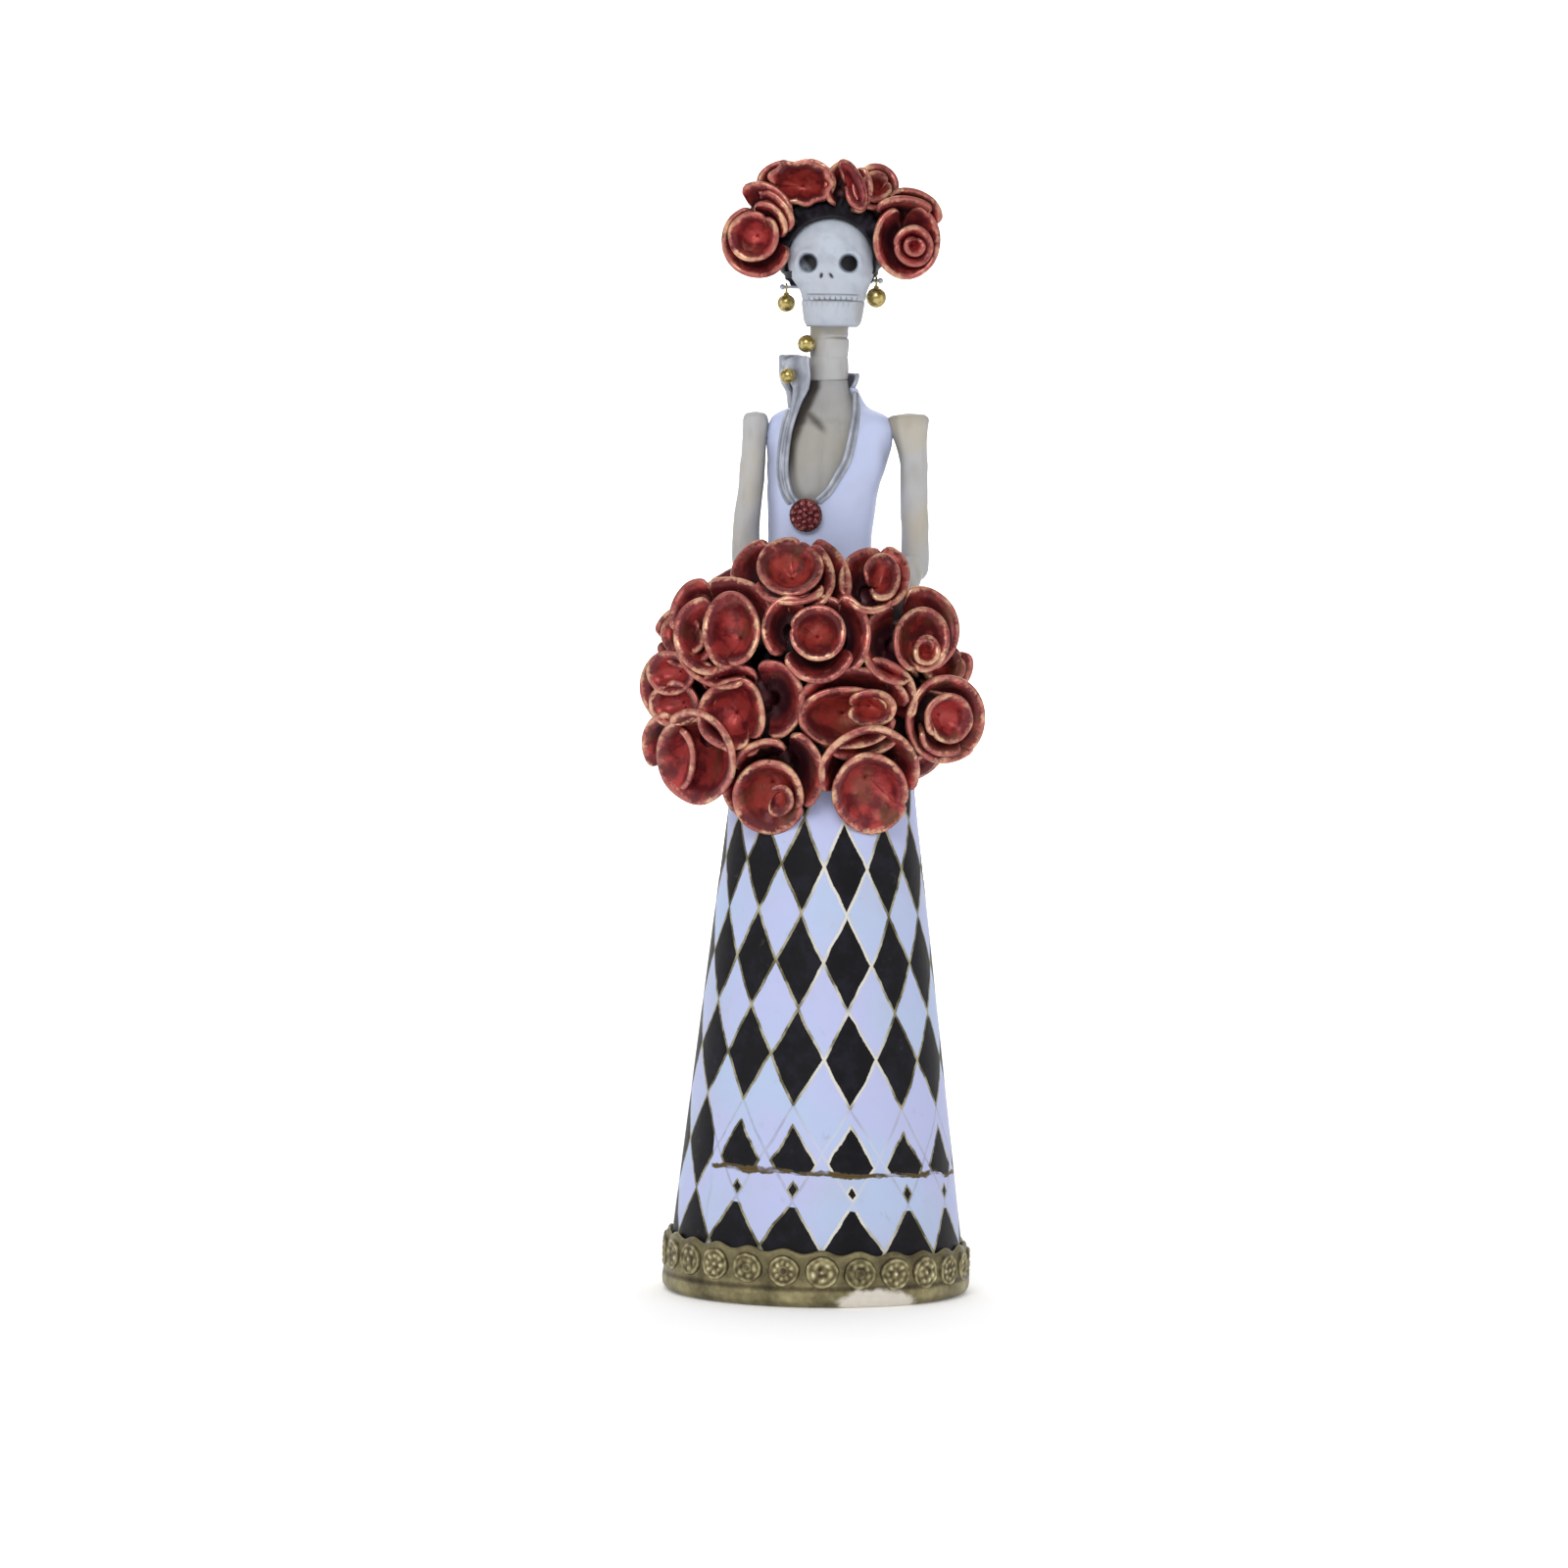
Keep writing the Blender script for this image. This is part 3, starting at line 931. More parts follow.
S = Shape()
rl, dark, stain = [], [], []
zs = list(np.linspace(122.74, 124.0, 30)) + list(np.linspace(124.06, 129.2, 74)) + list(np.linspace(129.35, 134.5, 34))
th_front = np.linspace(-1, 1, 150)
ths = [math.pi * (1.5 + 0.5 * (0.82 * t + 0.18 * t ** 3)) for t in th_front] + list(np.linspace(2 * math.pi, 3 * math.pi, 44)[1:-1])
for z in zs:
    hw, yf, yb = SK(z)
    yc = 0.45 * yf + 0.55 * max(yb, yf + 0.4) - 0.6
    yc = max(yf + 0.25 * (yb - yf), min(yc, yb - 0.15 * (yb - yf)))
    ring = []
    for t in ths:
        c, s = math.cos(t), math.sin(t)
        if s < 0:
            e = 2 / 2.25
            x = hw * math.copysign(abs(c) ** e, c)
            y = yc + (yc - yf) * math.copysign(abs(s) ** e, s)
        else:
            x, y = hw * c, yc + (yb - yc) * s
        d = dk = 0.0
        if s < -0.05:
            d, dk = face_relief(x, z)
            d *= smooth(-s * 3)
        soft = 0.10 * nz(x, y, z, 2.6) + 0.03 * nz(x, y, z, 0.8, 3)
        n = Vector((x / max(hw, 0.1), (y - yc) / max(abs(yf - yc), 0.5), 0.18 if z > 129 else 0.0)).normalized()
        sink = smooth(-d / 0.9)
        n = (n * (1 - sink) + Vector((0, -1, 0)) * sink).normalized()
        q = Vector((x, y, z)) + n * (d + soft)
        q.x += 0.6 * smooth((127.6 - z) / 4.9)
        ring.append(turn(*q))
        dark.append(min(1.0, dk + 0.10 * max(0, nz(x, y, z, 1.4, 8))))
        stain.append(0.55 * smooth((abs(x) - 3.9) / 1.2) * smooth((126.2 - z) / 2.2) * (0.6 + 0.6 * nz(x, y, z, 0.8, 2))
                     + 0.14 * smooth((124.6 - z) / 1.5))
    rl.append(ring)
v, f = rings(rl)
S.add(v, f, 0, dark=dark + [0.6, 0], stain=[min(1, max(0, s)) for s in stain] + [0, 0])
S.build("skull_face", "head", SKULL, ("skull",))

# the jaw: a horseshoe round the top of the neck
JW = table_fn([(119.5, 3.0, 3.2), (119.7, 3.3, 3.45), (120.1, 3.55, 3.68), (120.8, 3.68, 3.8), (121.6, 3.8, 3.88), (122.3, 3.86, 3.94), (122.72, 3.84, 3.92)])
S = Shape()
secs, dark, stain = [], [], []
for i in range(97):
    a = math.radians(-205 + 230 * i / 96)
    c, s = math.cos(a), math.sin(a)
    ring = []
    zrow = [119.5, 119.55, 119.7, 119.95, 120.3, 120.8, 121.3, 121.8, 122.2, 122.45, 122.62, 122.72]
    for z in zrow:
        hw, hd = JW(z)
        e = 2 / 2.3
        x = 0.48 + hw * math.copysign(abs(c) ** e, c)
        y = -1.0 + hd * math.copysign(abs(s) ** e, s)
        chin = 0.30 * math.exp(-((x - 0.2) / 1.3) ** 2 - ((z - 120.7) / 0.7) ** 2) * (1 if s < 0 else 0)
        # lower teeth, fainter than the upper ones
        ph = (x + 0.05) / 0.66
        gap = bump((ph - round(ph)) * 0.66, 0.15) * smooth((z - 121.9) / 0.3) if s < 0 and abs(x) < 3 else 0
        k = 1 + (chin - 0.06 * gap + 0.07 * nz(x, y, z, 1.6, 5)) / 4.2
        ring.append((x * k, -1.0 + (y + 1.0) * k, z))
        dark.append(max(0.5 * smooth((z - 122.5) / 0.16) * smooth((3.2 - abs(x - 0.6)) / 0.8), 0.45 * smooth((119.75 - z) / 0.25), 0.25 * gap))
        stain.append(0.15 + 0.5 * smooth((abs(x) - 3.1) / 0.7))
    for z in (122.72, 122.3, 121.0, 119.9, 119.5):
        r = 2.86
        b = a if s < 0 else a
        ring.append((r * math.cos(b), r * math.sin(b) - (0.0), z))
        dark.append(0.8)
        stain.append(0)
    if s > 0.1:
        # ends: keep the wall thin and finish at the back of the mouth
        ring = [(x, min(y, 0.40), z) for x, y, z in ring]
    secs.append([turn(*p) for p in ring])
v, f = rings(secs)
S.add(v, f, 0, dark=dark + [0.5, 0.5], stain=stain + [0, 0])
S.build("jaw_block", "head", SKULL, ("jaw",))

# hair: a close hood with combed grooves, open at the face, and a coiled bun behind
S = Shape()
O = Vector((0, 0, 127.3))
secs = []
for i in range(300):
    a = 2 * math.pi * i / 300
    c, s = math.cos(a), math.sin(a)
    e = 1 / math.hypot(c / 5.42, s / 5.35)
    if s < 0:
        e = min(e, 1.7 / max(0.05, -s))
    ring = [(0, -1.5, 127.3), (0.5 * e * c, -1.5, 127.3 + 0.5 * e * s), (0.97 * e * c, -1.6, 127.3 + 0.97 * e * s)]
    # from the lip of the opening over the outside to the middle of the back
    lip_y = 1.2 - 6.6 * math.sqrt(max(0.05, 1 - ((e + 0.15) * c / 6.78) ** 2 - ((127.3 + (e + 0.15) * s - 129.2) / 6.72) ** 2)) if s > -0.2 else -3.2
    lip_y = max(lip_y, -4.3)
    t0 = math.atan2(e + 0.1, lip_y - 1.2)
    for j in range(56):
        t = t0 + (0.0 - t0) * (j / 55) ** 0.9
        dx, dy, dz = math.sin(t) * c, math.cos(t), math.sin(t) * s
        # ray from (0, 1.2, 127.3) to the ellipsoid centred at (0, 1.2, 129.2)
        A = (dx / 6.78) ** 2 + (dy / 6.65) ** 2 + (dz / 6.72) ** 2
        B = 2 * dz * (-1.9) / 6.72 ** 2
        Cc = (1.9 / 6.72) ** 2 - 1
        k = (-B + math.sqrt(B * B - 4 * A * Cc)) / (2 * A)
        x, y, z = dx * k, 1.2 + dy * k, 127.3 + dz * k
        strand = math.sin(a * 34 + 2.2 * nz(x, y, z, 3.5)) * 0.5 + 0.5
        fade = smooth(j / 6) * smooth((55 - j) / 6)
        g = -0.16 * strand * fade + 0.12 * nz(x, y, z, 2.4, 6)
        n = Vector((x / 6.78 ** 2, (y - 1.2) / 6.6 ** 2, (z - 129.2) / 6.2 ** 2)).normalized()
        x, y, z = Vector((x, y, z)) + n * g
        floor = 125.5 if y < 0 else 125.5 - 1.1 * smooth(y / 1.5)
        if z < floor:
            x, y, z = x, y, floor + 0.10 * nz(x, y, 0, 0.9)
        if j == 0:
            ring += [(x * 0.985, y + 0.9, 127.3 + (z - 127.3) * 0.985), (x * 0.985, y + 0.3, 127.3 + (z - 127.3) * 0.985)]
        ring.append((x, y, z))
    secs.append(ring)
nr = len(secs[0])
verts = [p for r in secs for p in r]
faces = []
for i in range(300):
    for j in range(nr - 1):
        a_, b_ = i * nr + j, ((i + 1) % 300) * nr + j
        faces.append((a_, a_ + 1, b_ + 1, b_))
S.add(verts, faces, 0)
# bun: one thick coil of hair laid in a spiral, on a flat pad
turns = []
for i in range(150):
    t = i / 149
    a = t * 5.2 * math.pi
    r = 2.25 - 1.95 * t
    turns.append((r * math.cos(a), 7.05 + 1.15 * t ** 1.3, 127.2 + 0.95 * r * math.sin(a)))
v, f = tube(turns, lambda t: 0.62 - 0.14 * t, 16)
S.add(v, f, 0)
v, f = ball((0, 7.0, 127.2), 2.3, 36, 20, (0, 1, 0), 0.05, 2, (1, 1, 0.5))
S.add(v, f, 0)
S.build("hair_hood", "head", HAIR, ("hair_cap",))

# crown wire wrapped in dark paper tape
S = Shape()
arch, wrap = [], []
for i in range(161):
    a = math.radians(-7 + 194 * i / 160)
    arch.append((7.3 * math.cos(a), 1.0, 129.4 + 7.3 * math.sin(a)))
v, f = tube(arch, lambda t: 0.92, 20)
S.add(v, f, 0)
for i in range(1500):
    t = i / 1499
    a = math.radians(-7 + 194 * t)
    b = t * 2 * math.pi * 46
    q = 0.90 + 0.02 * math.sin(b * 3)
    wrap.append(((7.3 + q * math.cos(b)) * math.cos(a), 1.0 + q * math.sin(b), 129.4 + (7.3 + q * math.cos(b)) * math.sin(a)))
v, f = tube(wrap, 0.11, 6)
S.add(v, f, 0)
S.build("crown_hoop", "head", WRAP, ("crown_band",))

# earrings: an eyelet, a short shank, a cap and a bead
for side, body, px, pz, r in (("right", "right_earring", -5.35, 124.35, 1.12), ("left", "left_earring", 5.75, 125.3, 1.25)):
    S = Shape()
    S.add(*torus((px, 0.9, pz), 0.40, 0.13, (1, 0, 0), 40, 14))
    c = (px, 0.9, pz - 0.85 - r)
    v, f = tube([(px, 0.9, pz - 0.42), (px, 0.9, pz - 0.60), (px, 0.9, pz - 0.86), (px, 0.9, pz - 1.0)], 0.15, 14)
    S.add(v, f, 0)
    v, f = ball((px, 0.9, pz - 0.80), 0.36, 28, 12, (0, 0, 1), 0.0, 0, (1, 1, 0.5))
    S.add(v, f, 0)
    v, f = ball(c, r, 44, 30, (0, 0, 1), 0.03, px)
    S.add(v, f, 0)
    S.build(side + "_earring_bead", body, PEARL, (side + "_earring",))

# ------------------------------------------------------------- neck and torso
S = Shape()
rl, dark, stain = [], [], []
for z in np.linspace(109.2, 120.9, 150):
    r = 2.42 + 0.06 * math.sin(z * 2.1)
    g = 0.0
    for gz, gd in ((118.2, 0.16), (115.8, 0.06), (112.9, 0.12)):
        g += gd * bump(z - gz, 0.28)
    ring = []
    for i in range(96):
        a = 2 * math.pi * i / 96
        x, y = math.cos(a), math.sin(a)
        k = r - g * (0.6 + 0.6 * smooth(0.5 + x * 0.8)) + 0.07 * nz(x * 2.5, y * 2.5, z, 1.7, 3)
        ring.append((x * k, y * k + (0.12 * smooth((112.4 - z) / 3.2)), z))
        side = smooth((-x - 0.15) / 0.6)
        dark.append(min(0.9, 0.45 * bump(z - 118.2, 0.2) * smooth(x + 0.4) + 0.30 * bump(z - 112.9, 0.2) * smooth(x + 0.3)
                        + 0.5 * bump(z - 120.2, 0.9) + 0.75 * side * smooth((112.9 - z) / 2.2)))
        stain.append(0.22 + 0.25 * smooth(nz(x * 2, y * 2, z, 1.6, 9)) + 0.2 * side)
    rl.append(ring)
S.add(*rings(rl), 0, dark=dark + [0, 0], stain=stain + [0, 0])
S.build("neck_column", "figure", BONE, ("neck",))

TORSO = table_fn([(89.2, -0.75, 6.62, 5.05), (90, -0.75, 6.62, 5.0), (93, -0.8, 6.4, 4.9), (97, -0.65, 6.65, 4.8), (100, -0.45, 6.95, 4.8), (103, 0.0, 7.45, 4.7),
                  (105.5, 0.25, 7.8, 4.5), (107.3, 0.35, 7.75, 4.1), (108.4, 0.33, 7.2, 3.7), (109.0, 0.28, 6.3, 3.35), (109.4, 0.2, 5.3, 3.15), (109.9, 0.1, 4.7, 3.02),
                  (110.7, 0.05, 4.2, 2.95), (111.5, 0.0, 3.85, 2.95), (112.1, 0.0, 3.6, 3.0)])
V_LEFT = table_fn([(97.4, -2.8), (98.9, -4.35), (101, -5.1), (103.6, -5.25), (106.4, -4.9), (108.6, -4.25), (110.5, -3.5), (112.1, -2.8)])
V_RIGHT = table_fn([(97.4, -2.2), (98.9, -0.2), (101, 1.5), (103.6, 2.75), (106.4, 3.4), (108.6, 3.6), (110.5, 3.6), (112.1, 3.2)])


def torso_front(x, z, g=0.0):
    z = min(z, 112.1)
    cx, hw, hd = TORSO(z)
    k = 1 - ((x - cx) / (hw + g)) ** 2
    return -(hd + g) * math.sqrt(max(k, 0.02))


def torso_ring(z, g, n=120):
    cx, hw, hd = TORSO(z)
    out = []
    for i in range(n):
        a = 2 * math.pi * i / n
        x, y = math.cos(a), math.sin(a)
        e = 2 / 2.15
        out.append((cx + (hw + g) * math.copysign(abs(x) ** e, x), (hd + g) * math.copysign(abs(y) ** e, y), z))
    return out


# the chest under the dress
S = Shape()
rl, dark, stain = [], [], []
UPPER = table_fn([(108.4, 6.38, 2.88), (109.0, 5.5, 2.78), (109.6, 4.55, 2.74), (110.2, 3.85, 2.70), (110.9, 3.2, 2.66), (111.6, 2.75, 2.62), (112.3, 2.50, 2.52), (112.9, 2.38, 2.40)])


def chest_ring(z):
    if z < 108.4:
        return torso_ring(z, -0.82, 140)
    hw, hd = UPPER(z)
    cx = float(TORSO(min(z, 112.0))[0])
    out = []
    for i in range(140):
        a = 2 * math.pi * i / 140
        x, y = math.cos(a), math.sin(a)
        e = 2 / 2.12
        out.append((cx + hw * math.copysign(abs(x) ** e, x), hd * math.copysign(abs(y) ** e, y), z))
    return out


for z in list(np.linspace(89.3, 108.35, 90)) + list(np.linspace(108.5, 112.9, 30)):
    ring = []
    for x, y, zz in chest_ring(z):
        rib = 0.05 * math.sin((zz + 0.25 * abs(x)) * 2.6) * smooth((1.5 - abs(abs(x) - 2.2)) / 1.5) * smooth(-y / 2)
        collar_bone = 0.16 * bump(zz - 107.6 + 0.12 * abs(x), 0.7) * smooth(-y / 2)
        dip = -0.22 * math.exp(-((x + 0.6) / 0.5) ** 2) * smooth((107 - zz) / 2) * smooth((zz - 98) / 3)
        k = 1 + (rib + collar_bone + dip + 0.07 * nz(x, y, zz, 2.2, 4)) / 4.5
        ring.append((x * k, y * k, zz))
        lx = float(V_LEFT(max(97.4, min(zz, 112)))[0])
        rx = float(V_RIGHT(max(97.4, min(zz, 112)))[0])
        shade = 1.0 * smooth((lx + 1.75 + 0.5 * smooth((zz - 105) / 3) - x) / 0.9) * (0.35 + 0.65 * smooth((zz - 99.5) / 5)) + 0.35 * smooth((x - rx + 0.9) / 0.9)
        # the shadow cast by the collar slants across the base of the neck
        u = (x + 2.4) * 0.70 + (zz - 108.6) * 0.72
        shade = max(shade, 0.85 * bump(u - 0.1, 0.85) * smooth((0.2 - x) / 1.2) * smooth((zz - 105.5) / 1.5))
        shade = max(shade, 0.35 * smooth((99.2 - zz) / 1.6))
        dark.append(min(1.0, shade) if y < 0.5 else 0.3)
        stain.append(0.25 + 0.3 * smooth(nz(x, y, zz, 2.0, 7)))
    rl.append(ring)
S.add(*rings(rl), 0, dark=dark + [0, 0], stain=stain + [0, 0])
S.build("chest", "figure", CHEST, ("torso_core",))

# the dress above the waist: a paper shell, open in a V at the front
S = Shape()
COLS = 132


def bodice_row(z, g):
    cx, hw, hd = TORSO(z)
    if z > 97.4:
        xl, xr = float(V_LEFT(z)[0]), float(V_RIGHT(z)[0])
    else:
        xl = xr = -2.5

    def ang(x):
        c = max(-1.0, min(1.0, (x - cx) / hw))
        c = math.copysign(abs(c) ** (2.15 / 2), c)
        return -math.acos(c)
    a0, a1 = ang(xr), ang(xl) + 2 * math.pi
    out = []
    e = 2 / 2.15
    for i in range(COLS):
        a = a0 + (a1 - a0) * i / (COLS - 1)
        x, y = math.cos(a), math.sin(a)
        out.append((cx + (hw + g) * math.copysign(abs(x) ** e, x), (hd + g) * math.copysign(abs(y) ** e, y), z))
    return out


zrows = [z for z in np.linspace(89.2, 97.4, 34)] + [z for z in np.linspace(97.62, 112.0, 66)]
verts, attr_g = [], []
for z in zrows:
    for g in (0.0, -0.70):
        for x, y, zz in bodice_row(z, g):
            soft = 0.10 * nz(x, y, zz, 3.0, 1) + 0.035 * nz(x, y, zz, 1.0, 2)
            k = 1 + (soft if g == 0 else 0) / 6
            verts.append((x * k, y * k, zz))
            side = smooth((abs(x - 0.1) - 5.6) / 1.6)
            attr_g.append(min(0.9, 0.55 * side * smooth((107 - zz) / 4) * (1 if y < 1 else 0.4) + 0.16 * smooth(nz(x, y, zz, 2.4, 5))))
nrow = 2 * COLS
faces = []
for r in range(len(zrows) - 1):
    o, p = r * nrow, (r + 1) * nrow
    for i in range(COLS - 1):
        faces.append((o + i, o + i + 1, p + i + 1, p + i))
        faces.append((o + COLS + i + 1, o + COLS + i, p + COLS + i, p + COLS + i + 1))
    if zrows[r] > 97.3:
        faces.append((o, p, p + COLS, o + COLS))
        faces.append((o + COLS - 1, o + nrow - 1, p + nrow - 1, p + COLS - 1))
top = (len(zrows) - 1) * nrow
for i in range(COLS - 1):
    faces.append((top + i, top + i + 1, top + COLS + i + 1, top + COLS + i))
    faces.append((i + 1, i, COLS + i, COLS + i + 1))
S.add(verts, faces, 0, grey=attr_g)
S.build("dress_bodice", "figure", DRESS, ("bodice",), weld=True)


def strap(S, path, width, thick, normal, n=90, mat=0, wob=0.05, seed=0.0):
    """A flat ribbon along path, with rounded edges and a shallow groove along its middle."""
    p = [Vector(q) for q in catmull(path, n)]
    secs, dk = [], []
    m = len(p) - 1
    for i, c in enumerate(p):
        t = (p[min(i + 1, m)] - p[max(i - 1, 0)]).normalized()
        nn = normal(c)
        nn = (nn - t * nn.dot(t)).normalized()
        side = t.cross(nn)
        w = float(np.atleast_1d(width(i / m))[0]) if callable(width) else width
        e = math.sqrt(max(0.04, 1 - max(0.0, 1 - min(i, m - i) / 3.0) ** 2))
        ring = []
        for k in range(24):
            a = 2 * math.pi * k / 24
            u = math.copysign(abs(math.cos(a)) ** 0.55, math.cos(a))
            h = math.copysign(abs(math.sin(a)) ** 0.7, math.sin(a))
            groove = 0.30 * bump(u, 0.35) if h > 0 else 0
            q = c + side * (u * w / 2 * e * (1 + wob * nz(c.x, c.z, k, 1.3, seed))) + nn * (thick / 2 * (h - groove) * e)
            ring.append(tuple(q))
            dk.append(max(0.0, min(0.85, 0.55 * bump(u, 0.3) * (h > 0) * (1 - 0.6 * smooth((c.z - 111) / 2)) + 0.3 * (h < 0.1))))
        secs.append(ring)
    v, f = rings(secs)
    S.add(v, f, mat, dark=dk + [0.3, 0.3])


def out_of_torso(c):
    cx, hw, hd = TORSO(min(c.z, 112))
    return Vector(((c.x - cx) / hw ** 2, c.y / hd ** 2, 0)).normalized()


def collar_turn(c):
    """The wing of the collar faces a little to the side; the lapel lies flat on the dress."""
    k = smooth((c.z - 109.5) / 4.0)
    return (out_of_torso(c) * (1 - k) + Vector((-0.52, -0.85, 0.0)) * k).normalized()


# lapels: silver bands from the collar down to the brooch, each with a second, bluer fold behind it
S = Shape()
left = [(-4.15, 109.2), (-4.75, 106.9), (-5.12, 103.8), (-5.15, 101.2), (-4.6, 99.0), (-3.7, 97.6)]


def lapel_y(x, z, g):
    """The lapel leaves the shoulder and runs up in front of it to the collar."""
    k = smooth((z - 105.0) / 2.6)
    return torso_front(x, z) * (1 - k) + min(-3.62, torso_front(x, z)) * k - g


right = [(3.35, 111.6), (3.45, 109.1), (3.05, 106.1), (2.35, 103.1), (1.1, 100.8), (0.1, 99.2), (-1.3, 97.9)]
wing = [(-4.05, -2.95, 115.75), (-3.98, -3.25, 114.6), (-3.55, -3.6, 113.2), (-3.42, -3.75, 112.1), (-3.62, -3.85, 111.2), (-3.92, -3.85, 110.1)]
strap(S, wing + [(x, lapel_y(x, z, 0.14), z) for x, z in left], table_fn([(0, 3.9), (0.07, 3.8), (0.14, 3.2), (0.20, 2.4), (0.255, 1.75), (0.32, 1.25), (0.45, 0.95), (0.6, 0.86), (1.0, 0.8)]),
      0.50, collar_turn, 170, 0, 0.03, 1.0)
strap(S, [(x - 0.72, lapel_y(x - 0.72, z, 0.12), z) for x, z in left], lambda t: 0.80, 0.40, out_of_torso, 100, 0, 0.1, 2.0)
strap(S, [(x, torso_front(x, z) - 0.12, z) for x, z in right], lambda t: 0.95 + 0.2 * math.sin(t * 3), 0.5, out_of_torso, 110, 0, 0.1, 3.0)
S.build("lapel_bands", "figure", [TRIM, DRESS], ("lapel_trim",))

# the standing collar: one curled strip, high on the figure's right, low on the left
S = Shape()
CR = table_fn([(109.4, 3.85), (110.4, 3.95), (111.4, 4.15), (112.4, 4.7), (113.2, 4.95), (114.5, 5.02), (116, 5.0)])
secs, dk = [], []
NC = 130
for i in range(NC + 1):
    t = i / NC
    a = math.radians(-16 + 229 * t)
    c, s = math.cos(a), math.sin(a)
    x_top = -0.9 + 4.9 * c
    ztop = 113.65 + 2.15 * smooth((1.6 - x_top) / 5.6) - 0.5 * bump(t - 0.0, 0.05)
    e = math.sqrt(max(0.0, 1 - (1 - min(1.0, min(t, 1 - t) * 18)) ** 2))
    ztop = 109.6 + (ztop - 109.6) * (0.55 + 0.45 * e)
    zz = list(np.linspace(109.4, ztop, 26))
    flare = 0.35 * smooth((t - 0.86) / 0.14)
    ring = []
    wv = 0.14 * nz(c * 3, s * 3, 0, 1.4, 4)
    for side, seq in ((0.27, zz), (-0.27, zz[::-1])):
        if side < 0:
            r = float(CR(ztop)[0]) + wv
            for q in (0.19, 0.0, -0.19):
                ring.append((-0.9 + (r + q - 0.5 * smooth(c)) * c + flare * -0.3, 0.3 + (r + q) * s, ztop + 0.27 * math.sqrt(max(0, 1 - (q / 0.27) ** 2))))
                dk.append(0.0)
        for z in seq:
            up = (z - 109.4) / 6
            r = float(CR(z)[0]) + side + wv * up + flare * up * 0.6
            x, y = -0.9 + (r - 0.5 * smooth(c)) * c - flare * 0.3 * up, 0.3 + r * s
            if side > 0 and z < 111.8:
                # the foot of the strip lies against the shoulders
                y = y
            ring.append((x, y, z))
            dk.append(0.80 * smooth((1.2 - up) * 1.1) if side < 0 else 0.30 * smooth(nz(x, y, z, 0.9, 2) + 0.2) + 0.25 * smooth((112 - z) / 2))
    secs.append(ring)
v, f = rings(secs)
S.add(v, f, 0, dark=[min(0.95, d) for d in dk] + [0.4, 0.4])
S.build("standing_collar", "figure", TRIM, ("collar",))

# brooch: a shallow dish set with little red stones
BR = Vector((-2.6, -5.45, 96.3))
bn = Vector((-0.28, -1, -0.05)).normalized()
bq = bn.to_track_quat("Z", "Y")
S = Shape()
prof = [(0.0, 0.12), (1.2, 0.12), (1.62, 0.10), (1.74, 0.22), (1.88, 0.28), (2.0, 0.2), (2.06, 0.0), (2.02, -0.25), (1.7, -0.36), (0.0, -0.36)]
pp = catmull(prof, 34)
vv, ff = [], []
nb = 96
for r, h in pp:
    for i in range(nb):
        a = 2 * math.pi * i / nb
        rr = max(0.0005, r) * (1 + (0.012 * math.cos(24 * a) if r > 1.5 else 0))
        vv.append(tuple(BR + bq @ Vector((rr * math.cos(a), rr * math.sin(a), h))))
for j in range(len(pp) - 1):
    for i in range(nb):
        ff.append((j * nb + i, j * nb + (i + 1) % nb, (j + 1) * nb + (i + 1) % nb, (j + 1) * nb + i))
S.add(vv, ff, 0)
S.build("brooch_plate", "figure", BROOCH, ("brooch_disc",))
S = Shape()


def stone(c, r, h, seed):
    """A small faceted dome."""
    rows = [(1.0, -0.5), (1.0, 0.1), (0.78, 0.62), (0.42, 0.92)]
    n = 8
    vv, ff = [], []
    for j, (k, z) in enumerate(rows):
        for i in range(n):
            a = 2 * math.pi * (i + (0.5 if j % 2 else 0) + seed) / n
            vv.append(tuple(BR + bq @ (c + Vector((r * k * math.cos(a), r * k * math.sin(a), h * z)))))
    vv.append(tuple(BR + bq @ (c + Vector((0, 0, h)))))
    vv.append(tuple(BR + bq @ (c + Vector((0, 0, -0.5 * h)))))
    for j in range(3):
        for i in range(n):
            a_, b_, c_, d_ = j * n + i, j * n + (i + 1) % n, (j + 1) * n + (i + 1) % n, (j + 1) * n + i
            ff += [(a_, b_, d_), (b_, c_, d_)]
    ff += [(3 * n + i, 3 * n + (i + 1) % n, 4 * n) for i in range(n)]
    ff += [((i + 1) % n, i, 4 * n + 1) for i in range(n)]
    return vv, ff


for ring_r, count, size, ph in ((1.50, 11, 0.40, 0.1), (0.78, 6, 0.38, 0.4), (0.0, 1, 0.42, 0.0)):
    for i in range(count):
        a = 2 * math.pi * (i + ph) / count
        c = Vector((ring_r * math.cos(a), ring_r * math.sin(a), 0.16 + (0.06 if ring_r < 1 else 0)))
        v, f = stone(c, size * (0.9 + 0.16 * rng.rand()), 0.42, rng.rand())
        S.add(v, f, 0)
o = S.build("brooch_jewels", "figure", STONE, ("brooch_stones",))
o.data.polygons.foreach_set("use_smooth", [False] * len(o.data.polygons))

# pearls on the neck and the collar
for name, c, r in (("neck_pearl", (-2.8, -2.27, 117.4), 1.1), ("collar_pearl", (-5.05, -3.85, 113.4), 0.96)):
    S = Shape()
    v, f = ball(c, r, 44, 30, (0, 0, 1), 0.03, c[0])
    S.add(v, f, 0)
    S.add(*torus((c[0] + 0.35 * r, c[1] + 0.78 * r, c[2]), 0.36 * r, 0.10, (0.4, 0.9, 0), 30, 10))
    S.build(name + "_bead", "figure", PEARL, (name,))

# --------------------------------------------------------------------- arms


